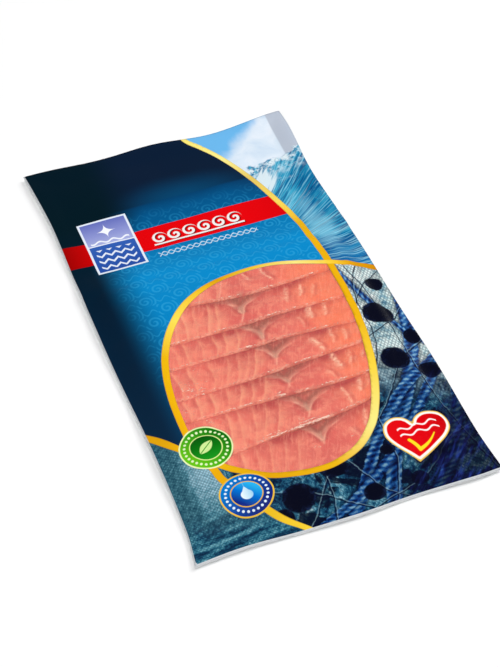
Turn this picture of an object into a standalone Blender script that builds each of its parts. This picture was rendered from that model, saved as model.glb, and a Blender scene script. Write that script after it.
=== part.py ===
"""Flat vacuum pack of sliced salted pink salmon, lying on its back.

A printed film and a back film are welded together round seven overlapping
slices. The slices show through a clear window between two crossing curves.

X runs across the pack, +Y towards its top edge, +Z up out of the window.
The origin is the middle of the pack on the surface that it lies on.
All sizes and functions of shape are in millimetres; meshes and curves are
scaled by MM where they are made.
"""
import math

import bmesh
import bpy

MM = 0.001

# ---- the pack ----
PACK_W = 140.0
PACK_L = 258.0
FILM = 0.4            # thickness of one film
GAP = 0.3             # clearance between pieces that touch
SLACK = 0.2           # what faceted faces may take of the clearance
EDGE_LIFT = 1.5       # how high the welded margin stands off the surface
EDGE_LIFT_RUN = 12.0  # distance over which the margin comes down
CURL = 2.2            # extra lift of the top right corner
CURL_RUN = 42.0
SKIRT = 12.0          # run of the film from the slices down to the margin

# ---- the slices, the first one furthest up the pack ----
SLICES = 7
SLICE_X = -1.0        # middle of the slices, across the pack
SLICE_HALF = 56.0     # half their length
SLICE_T = 4.0
FIRST_FAR_EDGE = 32.0
OVERLAP = 8.0         # how far each slice lies over the next one
SETTLE = 4.0          # run in which it comes down onto the back film
NEAR_TAPER = (0.34, 7.0)   # share of the thickness left at the edge, and run of the taper
FAR_TAPER = (0.30, 8.0)
END_TAPER = (0.45, 10.0)
BOARD = FILM + GAP        # height of the slices' undersides
CREST = BOARD + SLICE_T * (1.0 + NEAR_TAPER[0]) + GAP   # highest point of a near edge
BRIDGING = 0.45       # how much of each dip between two crests the film spans
EDGE_REACH = 0.6      # the film clears a slice's edge by at least this much in plan
END_REACH = 4.0       # and its ends by this much

# ---- shapes drawn through a few points ----
LEFT_WAVE = ((-129, -1.3), (-110, 1.0), (-60, 1.5), (0, 0.6), (55, 1.0), (90, 1.4), (129, -1.0))
RIGHT_WAVE = ((-129, 1.3), (-104, 0.3), (-55, 0.8), (0, 0.2), (50, -0.3), (82, -1.4), (112, 0.2), (129, -0.2))
TOP_WAVE = ((-70, 0.2), (-42, -0.9), (-5, 0.6), (26, -2.4), (50, -1.6), (70, -0.6))
BOTTOM_WAVE = ((-70, 0.2), (-45, 1.2), (-20, 0.3), (4, -0.6), (30, 0.6), (60, -0.5), (70, 0.0))

# near edges of the slices: y at a few x, from the first slice to the last
NEAR_EDGES = (
    ((-57, 6.0), (-22, 8.2), (0, 6.0), (20, 6.2), (42, 6.8), (55, 5.6)),
    ((-57, -12.4), (-30, -12.5), (-8, -12.0), (16, -11.2), (36, -11.8), (55, -13.0)),
    ((-57, -27.6), (-40, -27.0), (-8, -26.8), (9, -26.2), (30, -27.4), (55, -29.8)),
    ((-57, -46.0), (-40, -45.3), (-8, -44.6), (18, -43.0), (40, -42.0), (55, -41.4)),
    ((-57, -58.4), (-30, -59.0), (-6, -59.2), (14, -60.2), (34, -60.0), (55, -59.2)),
    ((-57, -85.0), (-32, -81.8), (-12, -79.6), (10, -78.2), (34, -74.6), (55, -71.6)),
    ((-57, -104.0), (-30, -109.5), (0, -111.0), (30, -109.0), (55, -104.0)),
)

# the two curves that frame the window cross at these corners
CROSS_RIGHT = (48.6, 11.0)
CROSS_LEFT = (-49.3, -81.2)
UPPER_ARC = (
    CROSS_RIGHT, (36.0, 15.9), (22.0, 20.5), (8.0, 21.3), (-6.3, 19.0), (-19.0, 13.9),
    (-30.5, 5.5), (-40.0, -7.0), (-46.6, -21.0), (-50.3, -36.5), (-52.0, -53.5), (-51.6, -69.0),
    CROSS_LEFT,
)
LOWER_ARC = (
    CROSS_LEFT, (-43.0, -87.6), (-33.0, -94.8), (-20.0, -100.8), (-5.0, -103.3), (9.0, -101.6),
    (20.5, -94.6), (30.5, -82.6), (37.5, -67.5), (42.9, -50.0), (46.3, -32.0), (48.2, -12.0),
    CROSS_RIGHT,
)
ARC_STEPS = 5         # straight pieces between two points of an arc

# ---- grid lines ----
COLUMNS = (-70, -66, -62, -58, -54.5, -50, -45, -36, -24, -12, 0,
           12, 24, 36, 45, 50, 54.5, 58, 62, 66, 70)
CAVITY_COLUMNS = slice(2, -2)
SLICE_COLUMNS = (-56, -54, -50.5, -45.5, -34, -23, -11.5, 0, 11.5, 23, 34, 45.5, 50.5, 54, 56)
NEAR_STEPS = (0.0, 2.2, 4.6, OVERLAP, OVERLAP + SETTLE / 2, OVERLAP + SETTLE)
FAR_STEPS = (OVERLAP, OVERLAP / 2, 0.0)
ROW_SPACE = 0.5       # least distance between the rows of a slice's front and back
MARGIN_ROWS = (0.0, 5.0, 9.5, 13.0)
LEVEL = 0.9999999     # how upright the normal of a level face is
WELD = 0.01           # points closer than this after a cut are one
FILM_STEPS = (-2.4, -0.5, 4.0, 8.2)   # rows of the film at each slice's near edge
LONG_SLICES = (0, 5, 6)               # slices that show enough to take one more row
HEAD_ROWS = (FIRST_FAR_EDGE - OVERLAP, FIRST_FAR_EDGE + 0.5, 37.0, 42.0, 48.0, 56.0, 66.0, 77.0, 88.0, 99.0, 109.0)
CAVITY_END = 38.0

COLOURS = {           # base colour, roughness
    "pouch": ((0.02, 0.20, 0.52, 1.0), 0.28),
    "window_film": ((0.93, 0.72, 0.66, 1.0), 0.12),
    "slice": ((0.87, 0.23, 0.15, 1.0), 0.35),
}


# ---- small helpers ----
def ease(t):
    """Smooth step from 0 to 1."""
    t = min(max(t, 0.0), 1.0)
    return t * t * (3.0 - 2.0 * t)


def ramp(t):
    """Straight slope from 0 to 1."""
    return min(max(t, 0.0), 1.0)


def mix(a, b, t):
    return a + (b - a) * t


def through(points):
    """A smooth function of t through (t, value) points, level beyond both ends."""
    last = len(points) - 1

    def slope(k):
        (t0, v0), (t1, v1) = points[max(k - 1, 0)], points[min(k + 1, last)]
        return (v1 - v0) / (t1 - t0)

    def value(t):
        t = min(max(t, points[0][0]), points[-1][0])
        k = max(j for j in range(last) if points[j][0] <= t)
        (t0, v0), (t1, v1) = points[k], points[k + 1]
        run = t1 - t0
        s = (t - t0) / run
        rise = (2 * s ** 3 - 3 * s ** 2 + 1) * v0 + (3 * s ** 2 - 2 * s ** 3) * v1
        bend = (s ** 3 - 2 * s ** 2 + s) * slope(k) + (s ** 3 - s ** 2) * slope(k + 1)
        return rise + bend * run

    return value


def smooth_path(points, steps):
    """Points of a Catmull-Rom curve through the given points, without the last one."""
    ends = (mirror_point(points[0], points[1]), mirror_point(points[-1], points[-2]))
    held = (ends[0],) + tuple(points) + (ends[1],)
    path = []
    for a, b, c, d in zip(held, held[1:], held[2:], held[3:]):
        for k in range(steps):
            s = k / steps
            path.append(tuple(
                0.5 * (2 * b[n] + (c[n] - a[n]) * s + (2 * a[n] - 5 * b[n] + 4 * c[n] - d[n]) * s ** 2
                       + (3 * b[n] - a[n] - 3 * c[n] + d[n]) * s ** 3) for n in (0, 1)))
    return path


def mirror_point(end, inner):
    return (2 * end[0] - inner[0], 2 * end[1] - inner[1])


# ---- outline of the pack ----
left_wave, right_wave = through(LEFT_WAVE), through(RIGHT_WAVE)
top_wave, bottom_wave = through(TOP_WAVE), through(BOTTOM_WAVE)


def left_edge(y):
    return -PACK_W / 2 + left_wave(y)


def right_edge(y):
    return PACK_W / 2 + right_wave(y)


def top_edge(x):
    return PACK_L / 2 + top_wave(x)


def bottom_edge(x):
    return -PACK_L / 2 + bottom_wave(x)


# ---- the slices ----
near_edges = [through(points) for points in NEAR_EDGES]


def near_edge(i, x):
    return near_edges[i](x)


def far_edge(i, x):
    """Each slice runs on under the one before it; the first ends under the print."""
    return FIRST_FAR_EDGE if i == 0 else near_edges[i - 1](x) + OVERLAP


def slice_thickness(i, x, y, from_end=0.0):
    near = mix(NEAR_TAPER[0], 1.0, ease((y - near_edge(i, x)) / NEAR_TAPER[1]))
    far = mix(FAR_TAPER[0], 1.0, ramp((far_edge(i, x) - y) / FAR_TAPER[1]))
    end = mix(END_TAPER[0], 1.0, ease((from_end + SLICE_HALF - abs(x - SLICE_X)) / END_TAPER[1]))
    return SLICE_T * near * far * end


def slice_bottom(i, x, y, from_end=0.0):
    """A slice lies on the back film and climbs over the far edge of the next slice."""
    if i == SLICES - 1:
        return BOARD
    cover = ramp(1.0 + (far_edge(i + 1, x) - y) / SETTLE)
    return BOARD + cover * (slice_thickness(i + 1, x, y, from_end) + GAP + SLACK / 2)


def slice_top(i, x, y, from_end=0.0):
    return slice_bottom(i, x, y, from_end) + slice_thickness(i, x, y, from_end)


# ---- the films ----
def back_height(x, y):
    """Underside of the pack: flat under the slices, lifting towards the welded edges."""
    inset = min(x - left_edge(y), right_edge(y) - x, top_edge(x) - y, y - bottom_edge(x))
    wave = 0.8 + 0.35 * math.sin(0.075 * y + 0.4) + 0.3 * math.sin(0.11 * x + 1.3)
    lift = EDGE_LIFT * wave * (1.0 - ease(inset / EDGE_LIFT_RUN))
    head = 0.35 * (1.0 + math.sin(0.06 * x + 0.09 * y)) * ease((y - 44.0) / 24.0)
    corner = math.hypot(PACK_W / 2 - x, PACK_L / 2 - y)
    return lift + head + CURL * (1.0 - ease(corner / CURL_RUN)) ** 2


def crown(x, y):
    """Underside of the film over the slices: it touches their crests and bridges the dips."""
    x = min(max(x, SLICE_X - SLICE_HALF), SLICE_X + SLICE_HALF)
    y = min(max(y, near_edge(SLICES - 1, x)), far_edge(0, x))
    surface = max(slice_top(i, x, y, END_REACH) for i in range(SLICES)
                  if near_edge(i, x) - EDGE_REACH <= y <= far_edge(i, x) + EDGE_REACH)
    return mix(surface, CREST, BRIDGING) + GAP + SLACK


def front_height(x, y):
    """Outer face of the printed film and of the window."""
    flat = back_height(x, y) + 2 * FILM
    across = abs(x - SLICE_X) - SLICE_HALF
    along = max(near_edge(SLICES - 1, x) - y, y - far_edge(0, x))
    outside = math.hypot(max(across - 1.0, 0.0), max(along - 1.0, 0.0))
    return mix(crown(x, y) + FILM, flat, ease(outside / SKIRT))


def film_underside(x, y):
    return front_height(x, y) - FILM


def cavity_floor(x, y):
    return back_height(x, y) + FILM


# ---- grid lines along the pack ----
def pack_rows():
    """Functions of x that give the y of each grid line, from the bottom edge up."""
    rows = [lambda x, inset=inset: bottom_edge(x) + inset for inset in MARGIN_ROWS]
    for i in reversed(range(SLICES)):
        steps = FILM_STEPS + ((12.6,) if i in LONG_SLICES else ())
        rows += [lambda x, i=i, step=step: near_edge(i, x) + step for step in steps]
    rows += [lambda x, y=y: y for y in HEAD_ROWS]
    rows += [lambda x, inset=inset: top_edge(x) - inset for inset in reversed(MARGIN_ROWS)]
    return rows


def pack_point(column, row):
    """Where a grid column and a grid row meet, in plan."""
    share = column / PACK_W + 0.5
    near_y = row(column)
    x = mix(left_edge(near_y), right_edge(near_y), share)
    return x, row(x)


# ---- mesh makers ----
def add_slab(name, collection, plan, top, bottom):
    """A closed solid over a grid of plan points, between two height functions."""
    mesh = bpy.data.meshes.new(name)
    bm = bmesh.new()
    columns, rows = len(plan[0]), len(plan)
    made = bmesh.ops.create_grid(bm, x_segments=columns - 1, y_segments=rows - 1, size=0.5)
    grid = sorted(made["verts"], key=lambda v: (round(v.co.y, 5), round(v.co.x, 5)))
    flat = [point for line in plan for point in line]
    for vert, (x, y) in zip(grid, flat):
        vert.co = (x, y, bottom(x, y))
    sheet = bmesh.ops.extrude_face_region(bm, geom=bm.faces[:])
    raised = [item for item in sheet["geom"] if isinstance(item, bmesh.types.BMVert)]
    for vert in raised:
        vert.co.z = top(vert.co.x, vert.co.y)
    bmesh.ops.recalc_face_normals(bm, faces=bm.faces[:])
    if bm.calc_volume(signed=True) < 0.0:
        bmesh.ops.reverse_faces(bm, faces=bm.faces[:])
    join_level_faces(bm)
    bmesh.ops.triangulate(bm, faces=bm.faces[:], quad_method="FIXED")
    bmesh.ops.scale(bm, vec=(MM, MM, MM), verts=bm.verts[:])
    bm.to_mesh(mesh)
    bm.free()
    piece = bpy.data.objects.new(name, mesh)
    collection.objects.link(piece)
    mesh.shade_smooth()
    mesh.set_sharp_from_angle(angle=math.radians(40))
    return piece


def join_level_faces(bm):
    """Make one face of the level part of the underside."""
    level = {face for face in bm.faces if face.normal.z < -LEVEL}
    verts = [vert for vert in bm.verts if level.issuperset(vert.link_faces)]
    edges = [edge for edge in bm.edges if level.issuperset(edge.link_faces)]
    bmesh.ops.dissolve_limit(bm, angle_limit=math.radians(0.05), verts=verts, edges=edges)


def window_outline(inset):
    """The area inside both arcs, shrunk by an inset."""
    path = smooth_path(UPPER_ARC, ARC_STEPS) + smooth_path(LOWER_ARC, ARC_STEPS)
    path = drop_repeats(path)
    shrunk = []
    for before, here, after in zip(path[-1:] + path[:-1], path, path[1:] + path[:1]):
        along = (after[0] - before[0], after[1] - before[1])
        size = math.hypot(*along)
        shrunk.append((here[0] - along[1] / size * inset, here[1] + along[0] / size * inset))
    return shrunk


def drop_repeats(path):
    """Leave out the points where one arc hands over to the other."""
    kept = []
    for point in path:
        if not kept or math.dist(point, kept[-1]) > 0.5:
            kept.append(point)
    return kept


def add_window_cutter(name, collection, inset):
    """An upright prism over the window outline, from inside the pack to well above it."""
    curve = bpy.data.curves.new(name, "CURVE")
    curve.dimensions = "2D"
    curve.fill_mode = "BOTH"
    curve.extrude = 6.0 * MM
    spline = curve.splines.new("POLY")
    outline = window_outline(inset)
    spline.points.add(len(outline) - 1)
    for point, (x, y) in zip(spline.points, outline):
        point.co = (x * MM, y * MM, 0.0, 1.0)
    spline.use_cyclic_u = True
    drawn = bpy.data.objects.new(name + "_curve", curve)
    collection.objects.link(drawn)
    drawn.location.z = 8.0 * MM
    bpy.context.view_layer.update()

    evaluated = drawn.evaluated_get(bpy.context.evaluated_depsgraph_get())
    mesh = bpy.data.meshes.new_from_object(evaluated)
    bm = bmesh.new()
    bm.from_mesh(mesh)
    bmesh.ops.remove_doubles(bm, verts=bm.verts[:], dist=0.00001)
    bmesh.ops.recalc_face_normals(bm, faces=bm.faces[:])
    bm.to_mesh(mesh)
    bm.free()
    prism = bpy.data.objects.new(name, mesh)
    prism.matrix_world = drawn.matrix_world
    bpy.data.objects.remove(drawn)
    return as_cutter(prism, collection)


def as_cutter(piece, collection):
    if piece.name not in collection.objects:
        collection.objects.link(piece)
    piece.hide_render = True
    piece.display_type = "WIRE"
    return piece


def cut(piece, cutter, operation):
    boolean = piece.modifiers.new(operation.lower() + "_" + cutter.name, "BOOLEAN")
    boolean.operation = operation
    boolean.solver = "MANIFOLD"
    boolean.object = cutter


def weld(piece):
    """Merge the points that a cut leaves on top of each other."""
    merge = piece.modifiers.new("weld", "WELD")
    merge.merge_threshold = WELD * MM


def add_material(piece, kind):
    colour, roughness = COLOURS[kind]
    material = bpy.data.materials.new(piece.name)
    material.use_nodes = True
    shader = material.node_tree.nodes["Principled BSDF"]
    shader.inputs["Base Color"].default_value = colour
    shader.inputs["Roughness"].default_value = roughness
    shader.inputs["Metallic"].default_value = 0.0
    material.diffuse_color = colour
    piece.data.materials.clear()
    piece.data.materials.append(material)


# ---- the pieces ----
def add_pouch(pack, cutters):
    rows = pack_rows()
    plan = [[pack_point(column, row) for column in COLUMNS] for row in rows]
    pouch = add_slab("pouch", pack, plan, front_height, back_height)
    inner = [line[CAVITY_COLUMNS] for line in plan[len(MARGIN_ROWS) - 1:-len(MARGIN_ROWS)]
             if line[0][1] < CAVITY_END]
    cavity = as_cutter(add_slab("cavity", cutters, inner, film_underside, cavity_floor), cutters)
    hole = add_window_cutter("window_hole", cutters, 0.0)
    cut(pouch, cavity, "DIFFERENCE")
    cut(pouch, hole, "DIFFERENCE")
    weld(pouch)
    add_material(pouch, "pouch")
    return inner


def add_window_film(pack, cutters, plan):
    panel = add_slab("window_film", pack, plan, front_height, film_underside)
    cut(panel, add_window_cutter("window_panel", cutters, GAP), "INTERSECT")
    weld(panel)
    add_material(panel, "window_film")


def front_row(i, x, step):
    """A grid line near the front of a slice, clear of those near its back."""
    return min(near_edge(i, x) + step, far_edge(i, x) - OVERLAP - ROW_SPACE)


def add_slice(pack, i):
    columns = [SLICE_X + column for column in SLICE_COLUMNS]
    plan = [[(x, front_row(i, x, step)) for x in columns] for step in NEAR_STEPS]
    plan += [[(x, far_edge(i, x) - step) for x in columns] for step in FAR_STEPS]
    piece = add_slab("slice_%d" % (i + 1), pack, plan,
                     lambda x, y: slice_top(i, x, y), lambda x, y: slice_bottom(i, x, y))
    add_material(piece, "slice")


def main():
    for item in list(bpy.data.objects):
        bpy.data.objects.remove(item)
    pack = bpy.data.collections.new("salted_pink_salmon_pack")
    cutters = bpy.data.collections.new("cutters")
    bpy.context.scene.collection.children.link(pack)
    bpy.context.scene.collection.children.link(cutters)
    plan = add_pouch(pack, cutters)
    add_window_film(pack, cutters, plan)
    for i in range(SLICES):
        add_slice(pack, i)


main()
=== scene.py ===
"""The looks of a flat vacuum pack of sliced salted pink salmon.

The pack lies on its back: X across it, +Y towards its top edge, +Z up out of
its window. Shapes are worked out in millimetres, as in the part's own source,
and become metres where meshes are made.
"""

import copy
import math

import bpy
import numpy as np
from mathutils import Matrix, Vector
from mathutils.geometry import delaunay_2d_cdt


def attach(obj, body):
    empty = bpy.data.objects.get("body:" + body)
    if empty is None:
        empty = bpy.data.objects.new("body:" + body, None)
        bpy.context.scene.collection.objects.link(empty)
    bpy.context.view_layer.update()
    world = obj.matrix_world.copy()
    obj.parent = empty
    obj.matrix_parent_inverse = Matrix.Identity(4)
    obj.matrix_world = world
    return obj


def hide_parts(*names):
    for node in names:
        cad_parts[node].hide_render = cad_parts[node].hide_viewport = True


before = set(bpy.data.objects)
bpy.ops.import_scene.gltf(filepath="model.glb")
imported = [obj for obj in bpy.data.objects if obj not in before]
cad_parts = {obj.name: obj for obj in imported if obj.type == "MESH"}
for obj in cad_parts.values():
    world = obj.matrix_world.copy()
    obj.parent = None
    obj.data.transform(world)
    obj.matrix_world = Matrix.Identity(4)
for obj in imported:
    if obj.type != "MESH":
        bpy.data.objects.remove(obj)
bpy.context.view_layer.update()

MM = 0.001

# ---- the pack, with the sizes of its solids ----
PACK_W = 140
PACK_L = 258
FILM = 0.4
GAP = 0.3
SLACK = 0.2
EDGE_LIFT = 1.5
EDGE_LIFT_RUN = 12
CURL = 2.2
CURL_RUN = 42
SKIRT = 12
TOP_RUN = 10          # the film comes down more gently above the slices than at their other sides

SLICES = 7
SLICE_X = -1
SLICE_HALF = 56
SLICE_T = 4
FIRST_FAR_EDGE = 32
OVERLAP = 8
SETTLE = 4
NEAR_TAPER = (0.34, 7)
FAR_TAPER = (0.30, 8)
END_TAPER = (0.45, 10)
BOARD = FILM + GAP
CREST = BOARD + SLICE_T * (1 + NEAR_TAPER[0]) + GAP
BRIDGING = 0.45
END_REACH = 4

LEFT_WAVE = ((-129, -1.3), (-110, 1), (-60, 1.5), (0, 0.6), (55, 1), (90, 1.4), (129, -1))
RIGHT_WAVE = ((-129, 1.3), (-104, 0.3), (-55, 0.8), (0, 0.2), (50, -0.3), (82, -1.4), (112, 0.2), (129, -0.2))
TOP_WAVE = ((-70, 0.2), (-42, -0.9), (-5, 0.6), (26, -2.4), (50, -1.6), (70, -0.6))
BOTTOM_WAVE = ((-70, 0.2), (-45, 1.2), (-20, 0.3), (4, -0.6), (30, 0.6), (60, -0.5), (70, 0))

NEAR_EDGES = (
    ((-57, 6), (-22, 8.2), (0, 6), (20, 6.2), (42, 6.8), (55, 5.6)),
    ((-57, -12.4), (-30, -12.5), (-8, -12), (16, -11.2), (36, -11.8), (55, -13)),
    ((-57, -27.6), (-40, -27), (-8, -26.8), (9, -26.2), (30, -27.4), (55, -29.8)),
    ((-57, -46), (-40, -45.3), (-8, -44.6), (18, -43), (40, -42), (55, -41.4)),
    ((-57, -58.4), (-30, -59), (-6, -59.2), (14, -60.2), (34, -60), (55, -59.2)),
    ((-57, -85), (-32, -81.8), (-12, -79.6), (10, -78.2), (34, -74.6), (55, -71.6)),
    ((-57, -104), (-30, -109.5), (0, -111), (30, -109), (55, -104)),
)

# ---- the two gold curves of the print; the window is between their crossings ----
UPPER_CURVE = (
    (72.5, 2.6), (70, 3.8), (64.9, 7.2), (58.9, 8.3), (53.2, 9.6), (48.6, 11), (42.9, 13),
    (33.4, 16.8), (23.5, 20.1), (13.6, 21.3), (3.7, 20.8), (-6.3, 19), (-16.4, 15.2), (-26.3, 9.3),
    (-34.2, 1.5), (-41.1, -8.8), (-45.8, -18.8), (-48.7, -28.6), (-50.7, -38.9), (-51.7, -48.6),
    (-52.1, -58.8), (-51.7, -68), (-49.3, -81.2), (-47.7, -87.8), (-45.6, -94.8), (-40, -104.5),
    (-31.9, -115.4), (-22.7, -124.6), (-17.5, -131),
)
LOWER_CURVE = (
    (14, 133), (16.3, 125.5), (21.8, 119.3), (26.2, 113.2), (29.9, 106.8), (34.4, 96.8), (38.1, 86.6),
    (41.4, 76.4), (44.2, 66.1), (46.8, 56.3), (48.2, 46.8), (48.1, 39.5), (48.1, 33), (48.6, 22), (48.6, 11),
    (48.7, 0.9), (48.3, -9.2), (47.8, -18.8), (46.7, -29), (45.2, -38.9), (43.2, -48.5), (40.5, -58.6),
    (37, -68.7), (32.8, -78.3), (26.9, -88), (16.6, -97.7), (3.7, -102.7), (-6.3, -103.2),
    (-16.2, -101.7), (-26.1, -98.7), (-36.1, -92.4), (-43, -87.6), (-49.3, -81.2), (-60.2, -67.4),
    (-65.2, -60.9), (-69.2, -56.3), (-73, -51.5),
)
CURVE_STEPS = 6
# the gold at some points of each curve: point number, width, colour
UPPER_GOLD = (
    (0, 2.8, 0xcd8705), (3, 3, 0xde9b08), (5, 2.6, 0xf8d03c), (7, 2.5, 0xfce884),
    (9, 2.4, 0xf0c43c), (11, 2.6, 0xdea00a), (12, 3, 0xf0be28), (14, 3.5, 0xfcde54),
    (16, 3.4, 0xecb60c), (21, 3.1, 0xeeb00e), (24, 3.4, 0xe8a80c), (26, 2.9, 0xeec022), (28, 2.6, 0xf4d03c),
)
LOWER_GOLD = (
    (0, 2.4, 0xf6e26e), (4, 2.4, 0xfaec8c), (6, 2.6, 0xe2c460), (8, 2.8, 0xf6d65c),
    (10, 3, 0xe8b214), (14, 3.3, 0xe8ae0a), (18, 3.5, 0xecb412), (21, 3.7, 0xf6d442),
    (24, 3.8, 0xfaea86), (26, 3.2, 0xeab414), (29, 3, 0xe0a40c), (32, 3.2, 0xecb612),
    (36, 2.8, 0xe09e0a),
)

# ---- round and heart-shaped fields of the print ----
GREEN = (-46.6, -75, 12)
BLUE = (-38.8, -104.1, 12.1)
BLUE_SQUASH = 0.88       # its height to its width
HEART_TIP = (38.7, -113.6)
HEART_LEFT = ((33.2, -107), (29.9, -101), (29.1, -96.3), (30.6, -91.7), (33.4, -89.4), (36.8, -88.7),
              (40.4, -90), (42.4, -92.2))
HEART_CLEFT = (43.5, -94.6)
HEART_RIGHT = ((45, -92.3), (47.6, -90.7), (50.8, -90.1), (55.2, -90.9), (58.3, -93.4), (59.6, -97.2),
               (58.8, -101.4), (55.4, -105.3), (50.5, -108.4), (45, -111.1))

# ---- the salmon's pattern, in plan: one row a slice ----
# where the two wings of dark muscle meet (x, y), then each wing's span and how late it opens
VEES = (
    None, (-2.4, -6.2, 16, 6, 27, 3.2), (0.4, -24.6, 14, 4.5, 23, 3.4), (1.6, -38, 13, 4.5, 26, 2.4),
    (1.3, -54, 15, 3, 24, 2.6), (3.6, -72.5, 13, 3.6, 24, 2.4), (3.2, -89.5, 9, 2.6, 17, 2.6),
)
STEM_ENDS = (None, (-4.8, -10.5), (-0.4, -27.2), (0.2, -41.5), (0.6, -56), (1.9, -75.5), (3, -91))
# pale seams of the left half (x at mid height), and each slice's lean in mm at x = -36 and per mm of x
LEFT_SEAMS = (
    (-33, -25, -17.5, -8.5), (-43, -36.5, -30.6, -25.4, -18.8, -14.6),
    (-47.5, -41.6, -36, -28.8, -22.2, -16.6, -11.4),
    (-46.5, -38.6, -30, -22.4, -16.4, -12.4, -8.6), (-47, -41.7, -35, -27.8, -21.8, -16.2, -10.6),
    (-40, -33.6, -28.4, -22.2, -16.8, -10.6), (-42, -36.4, -30.2, -24, -18, -11.4),
)
LEANS = ((2, 0.1), (2.6, 0.17), (0, 0.2), (2, 0.24), (2.6, 0.18), (3, 0.2), (6, 0.3))
# pale fat flakes of the right half: slice, upper end, lower end, half width, strength
FLAKES = (
    (0, 6.4, 20, 8.2, 14, 0.7, 0.6), (0, 15.2, 22, 16.6, 14, 1.1, 0.7),
    (0, 16.4, 14.5, 18.6, 9.4, 0.4, 0.8), (1, 23, 4, 19.4, -7, 1.4, 0.6),
    (1, 30, 3.5, 27, -5, 0.6, 1), (1, 36, 2, 31.4, -8, 0.5, 0.35),
    (2, 28, -12, 26.6, -20.5, 1.7, 1), (2, 35.6, -12, 33.2, -21, 1.1, 0.7),
    (2, 20.4, -16, 21.2, -25, 0.6, 0.45), (3, 21.4, -30.5, 24.2, -41, 1.6, 1),
    (3, 31.2, -28, 30, -38.5, 0.8, 0.6), (3, 37.8, -30.5, 35.8, -39, 0.8, 0.6),
    (3, 43.6, -31, 42, -38, 0.4, 0.3), (4, 26.4, -43, 27.4, -54.5, 1.6, 1),
    (4, 34.8, -44, 32, -53, 0.9, 0.6), (4, 40.2, -46.5, 38.4, -51.5, 0.5, 0.6),
    (4, 20.2, -52, 22.6, -58.5, 0.5, 0.5), (5, 22.4, -63, 23.2, -75.5, 0.7, 0.8),
    (5, 32.4, -61.5, 29.4, -70, 1.3, 0.85), (5, 36.4, -60.5, 33.4, -68, 0.5, 0.4),
    (6, 27.2, -79, 24, -88.5, 1, 0.65), (6, 16.8, -86, 20, -94, 0.5, 0.5),
)


# ---- small helpers ----
WAVES = 7               # in each ripple


def ease(t):
    t = np.clip(t, 0, 1)
    return t * t * (3 - 2 * t)


def ramp(t):
    return np.clip(t, 0, 1)


def mix(a, b, t):
    return a + (b - a) * t


def bump(t):
    """1 at 0, falling to 0 at -1 and 1."""
    return ease(1 - np.abs(t))


def bell(t):
    """1 at 0, falling off softly on both sides."""
    return np.exp(-t ** 2)


def through(points, base=0):
    """A smooth function through (t, value above base) points, level beyond both ends."""
    ts, vs = (np.array(side, float) for side in zip(*points))
    last = len(ts) - 1
    after, before = np.minimum(np.arange(last + 1) + 1, last), np.maximum(np.arange(last + 1) - 1, 0)
    slopes = (vs[after] - vs[before]) / (ts[after] - ts[before])

    def value(t):
        t = np.clip(t, ts[0], ts[-1])
        k = np.clip(np.searchsorted(ts, t, side="right") - 1, 0, last - 1)
        run = ts[k + 1] - ts[k]
        s = (t - ts[k]) / run
        rise = (2 * s ** 3 - 3 * s ** 2 + 1) * vs[k] + (3 * s ** 2 - 2 * s ** 3) * vs[k + 1]
        bend = (s ** 3 - 2 * s ** 2 + s) * slopes[k] + (s ** 3 - s ** 2) * slopes[k + 1]
        return base + (rise + bend * run)

    return value


def smooth_path(points, steps):
    """Points of a Catmull-Rom curve through the given points."""
    p = np.array(points, float)
    p = np.vstack((2 * p[0] - p[1], p, 2 * p[-1] - p[-2]))
    path = []
    for a, b, c, d in zip(p, p[1:], p[2:], p[3:]):
        for k in range(steps):
            s = k / steps
            path.append(0.5 * (2 * b + (c - a) * s + (2 * a - 5 * b + 4 * c - d) * s ** 2
                               + (3 * b - a - 3 * c + d) * s ** 3))
    return np.array(path + [p[-2]])


def ripple(x, y, size, seed):
    """Soft unevenness from -1 to 1 with bumps about size across."""
    draw = np.random.default_rng(seed)
    total = np.zeros_like(x)
    for _ in range(WAVES):
        turn, phase = draw.uniform(0, 2 * math.pi, 2)
        pace = 2 * math.pi / (size * draw.uniform(0.7, 1.6) * 2)
        total += np.sin(pace * (x * math.cos(turn) + y * math.sin(turn)) + phase)
    return total / WAVES * 1.6


# ---- outline, slices and films, as in the solids ----
left_edge, right_edge = through(LEFT_WAVE, -PACK_W / 2), through(RIGHT_WAVE, PACK_W / 2)
bottom_edge, top_edge = through(BOTTOM_WAVE, -PACK_L / 2), through(TOP_WAVE, PACK_L / 2)
near_edges = [through(points) for points in NEAR_EDGES]


def near_edge(i, x):
    return near_edges[i](x)


def far_edge(i, x):
    return np.full_like(x, FIRST_FAR_EDGE) if i == 0 else near_edges[i - 1](x) + OVERLAP


def slice_thickness(i, x, y, from_end=0):
    near = mix(NEAR_TAPER[0], 1, ease((y - near_edge(i, x)) / NEAR_TAPER[1]))
    far = mix(FAR_TAPER[0], 1, ramp((far_edge(i, x) - y) / FAR_TAPER[1]))
    end = mix(END_TAPER[0], 1, ease((from_end + SLICE_HALF - np.abs(x - SLICE_X)) / END_TAPER[1]))
    return SLICE_T * near * far * end


def slice_bottom(i, x, y, from_end=0):
    if i == SLICES - 1:
        return np.full_like(x, BOARD)
    cover = ramp(1 + (far_edge(i + 1, x) - y) / SETTLE)
    return BOARD + cover * (slice_thickness(i + 1, x, y, from_end) + GAP + SLACK / 2)


def slice_top(i, x, y, from_end=0):
    return slice_bottom(i, x, y, from_end) + slice_thickness(i, x, y, from_end)


def inset(x, y):
    """Distance in from the pack's edge."""
    return np.minimum.reduce((x - left_edge(y), right_edge(y) - x, top_edge(x) - y, y - bottom_edge(x)))


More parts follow.
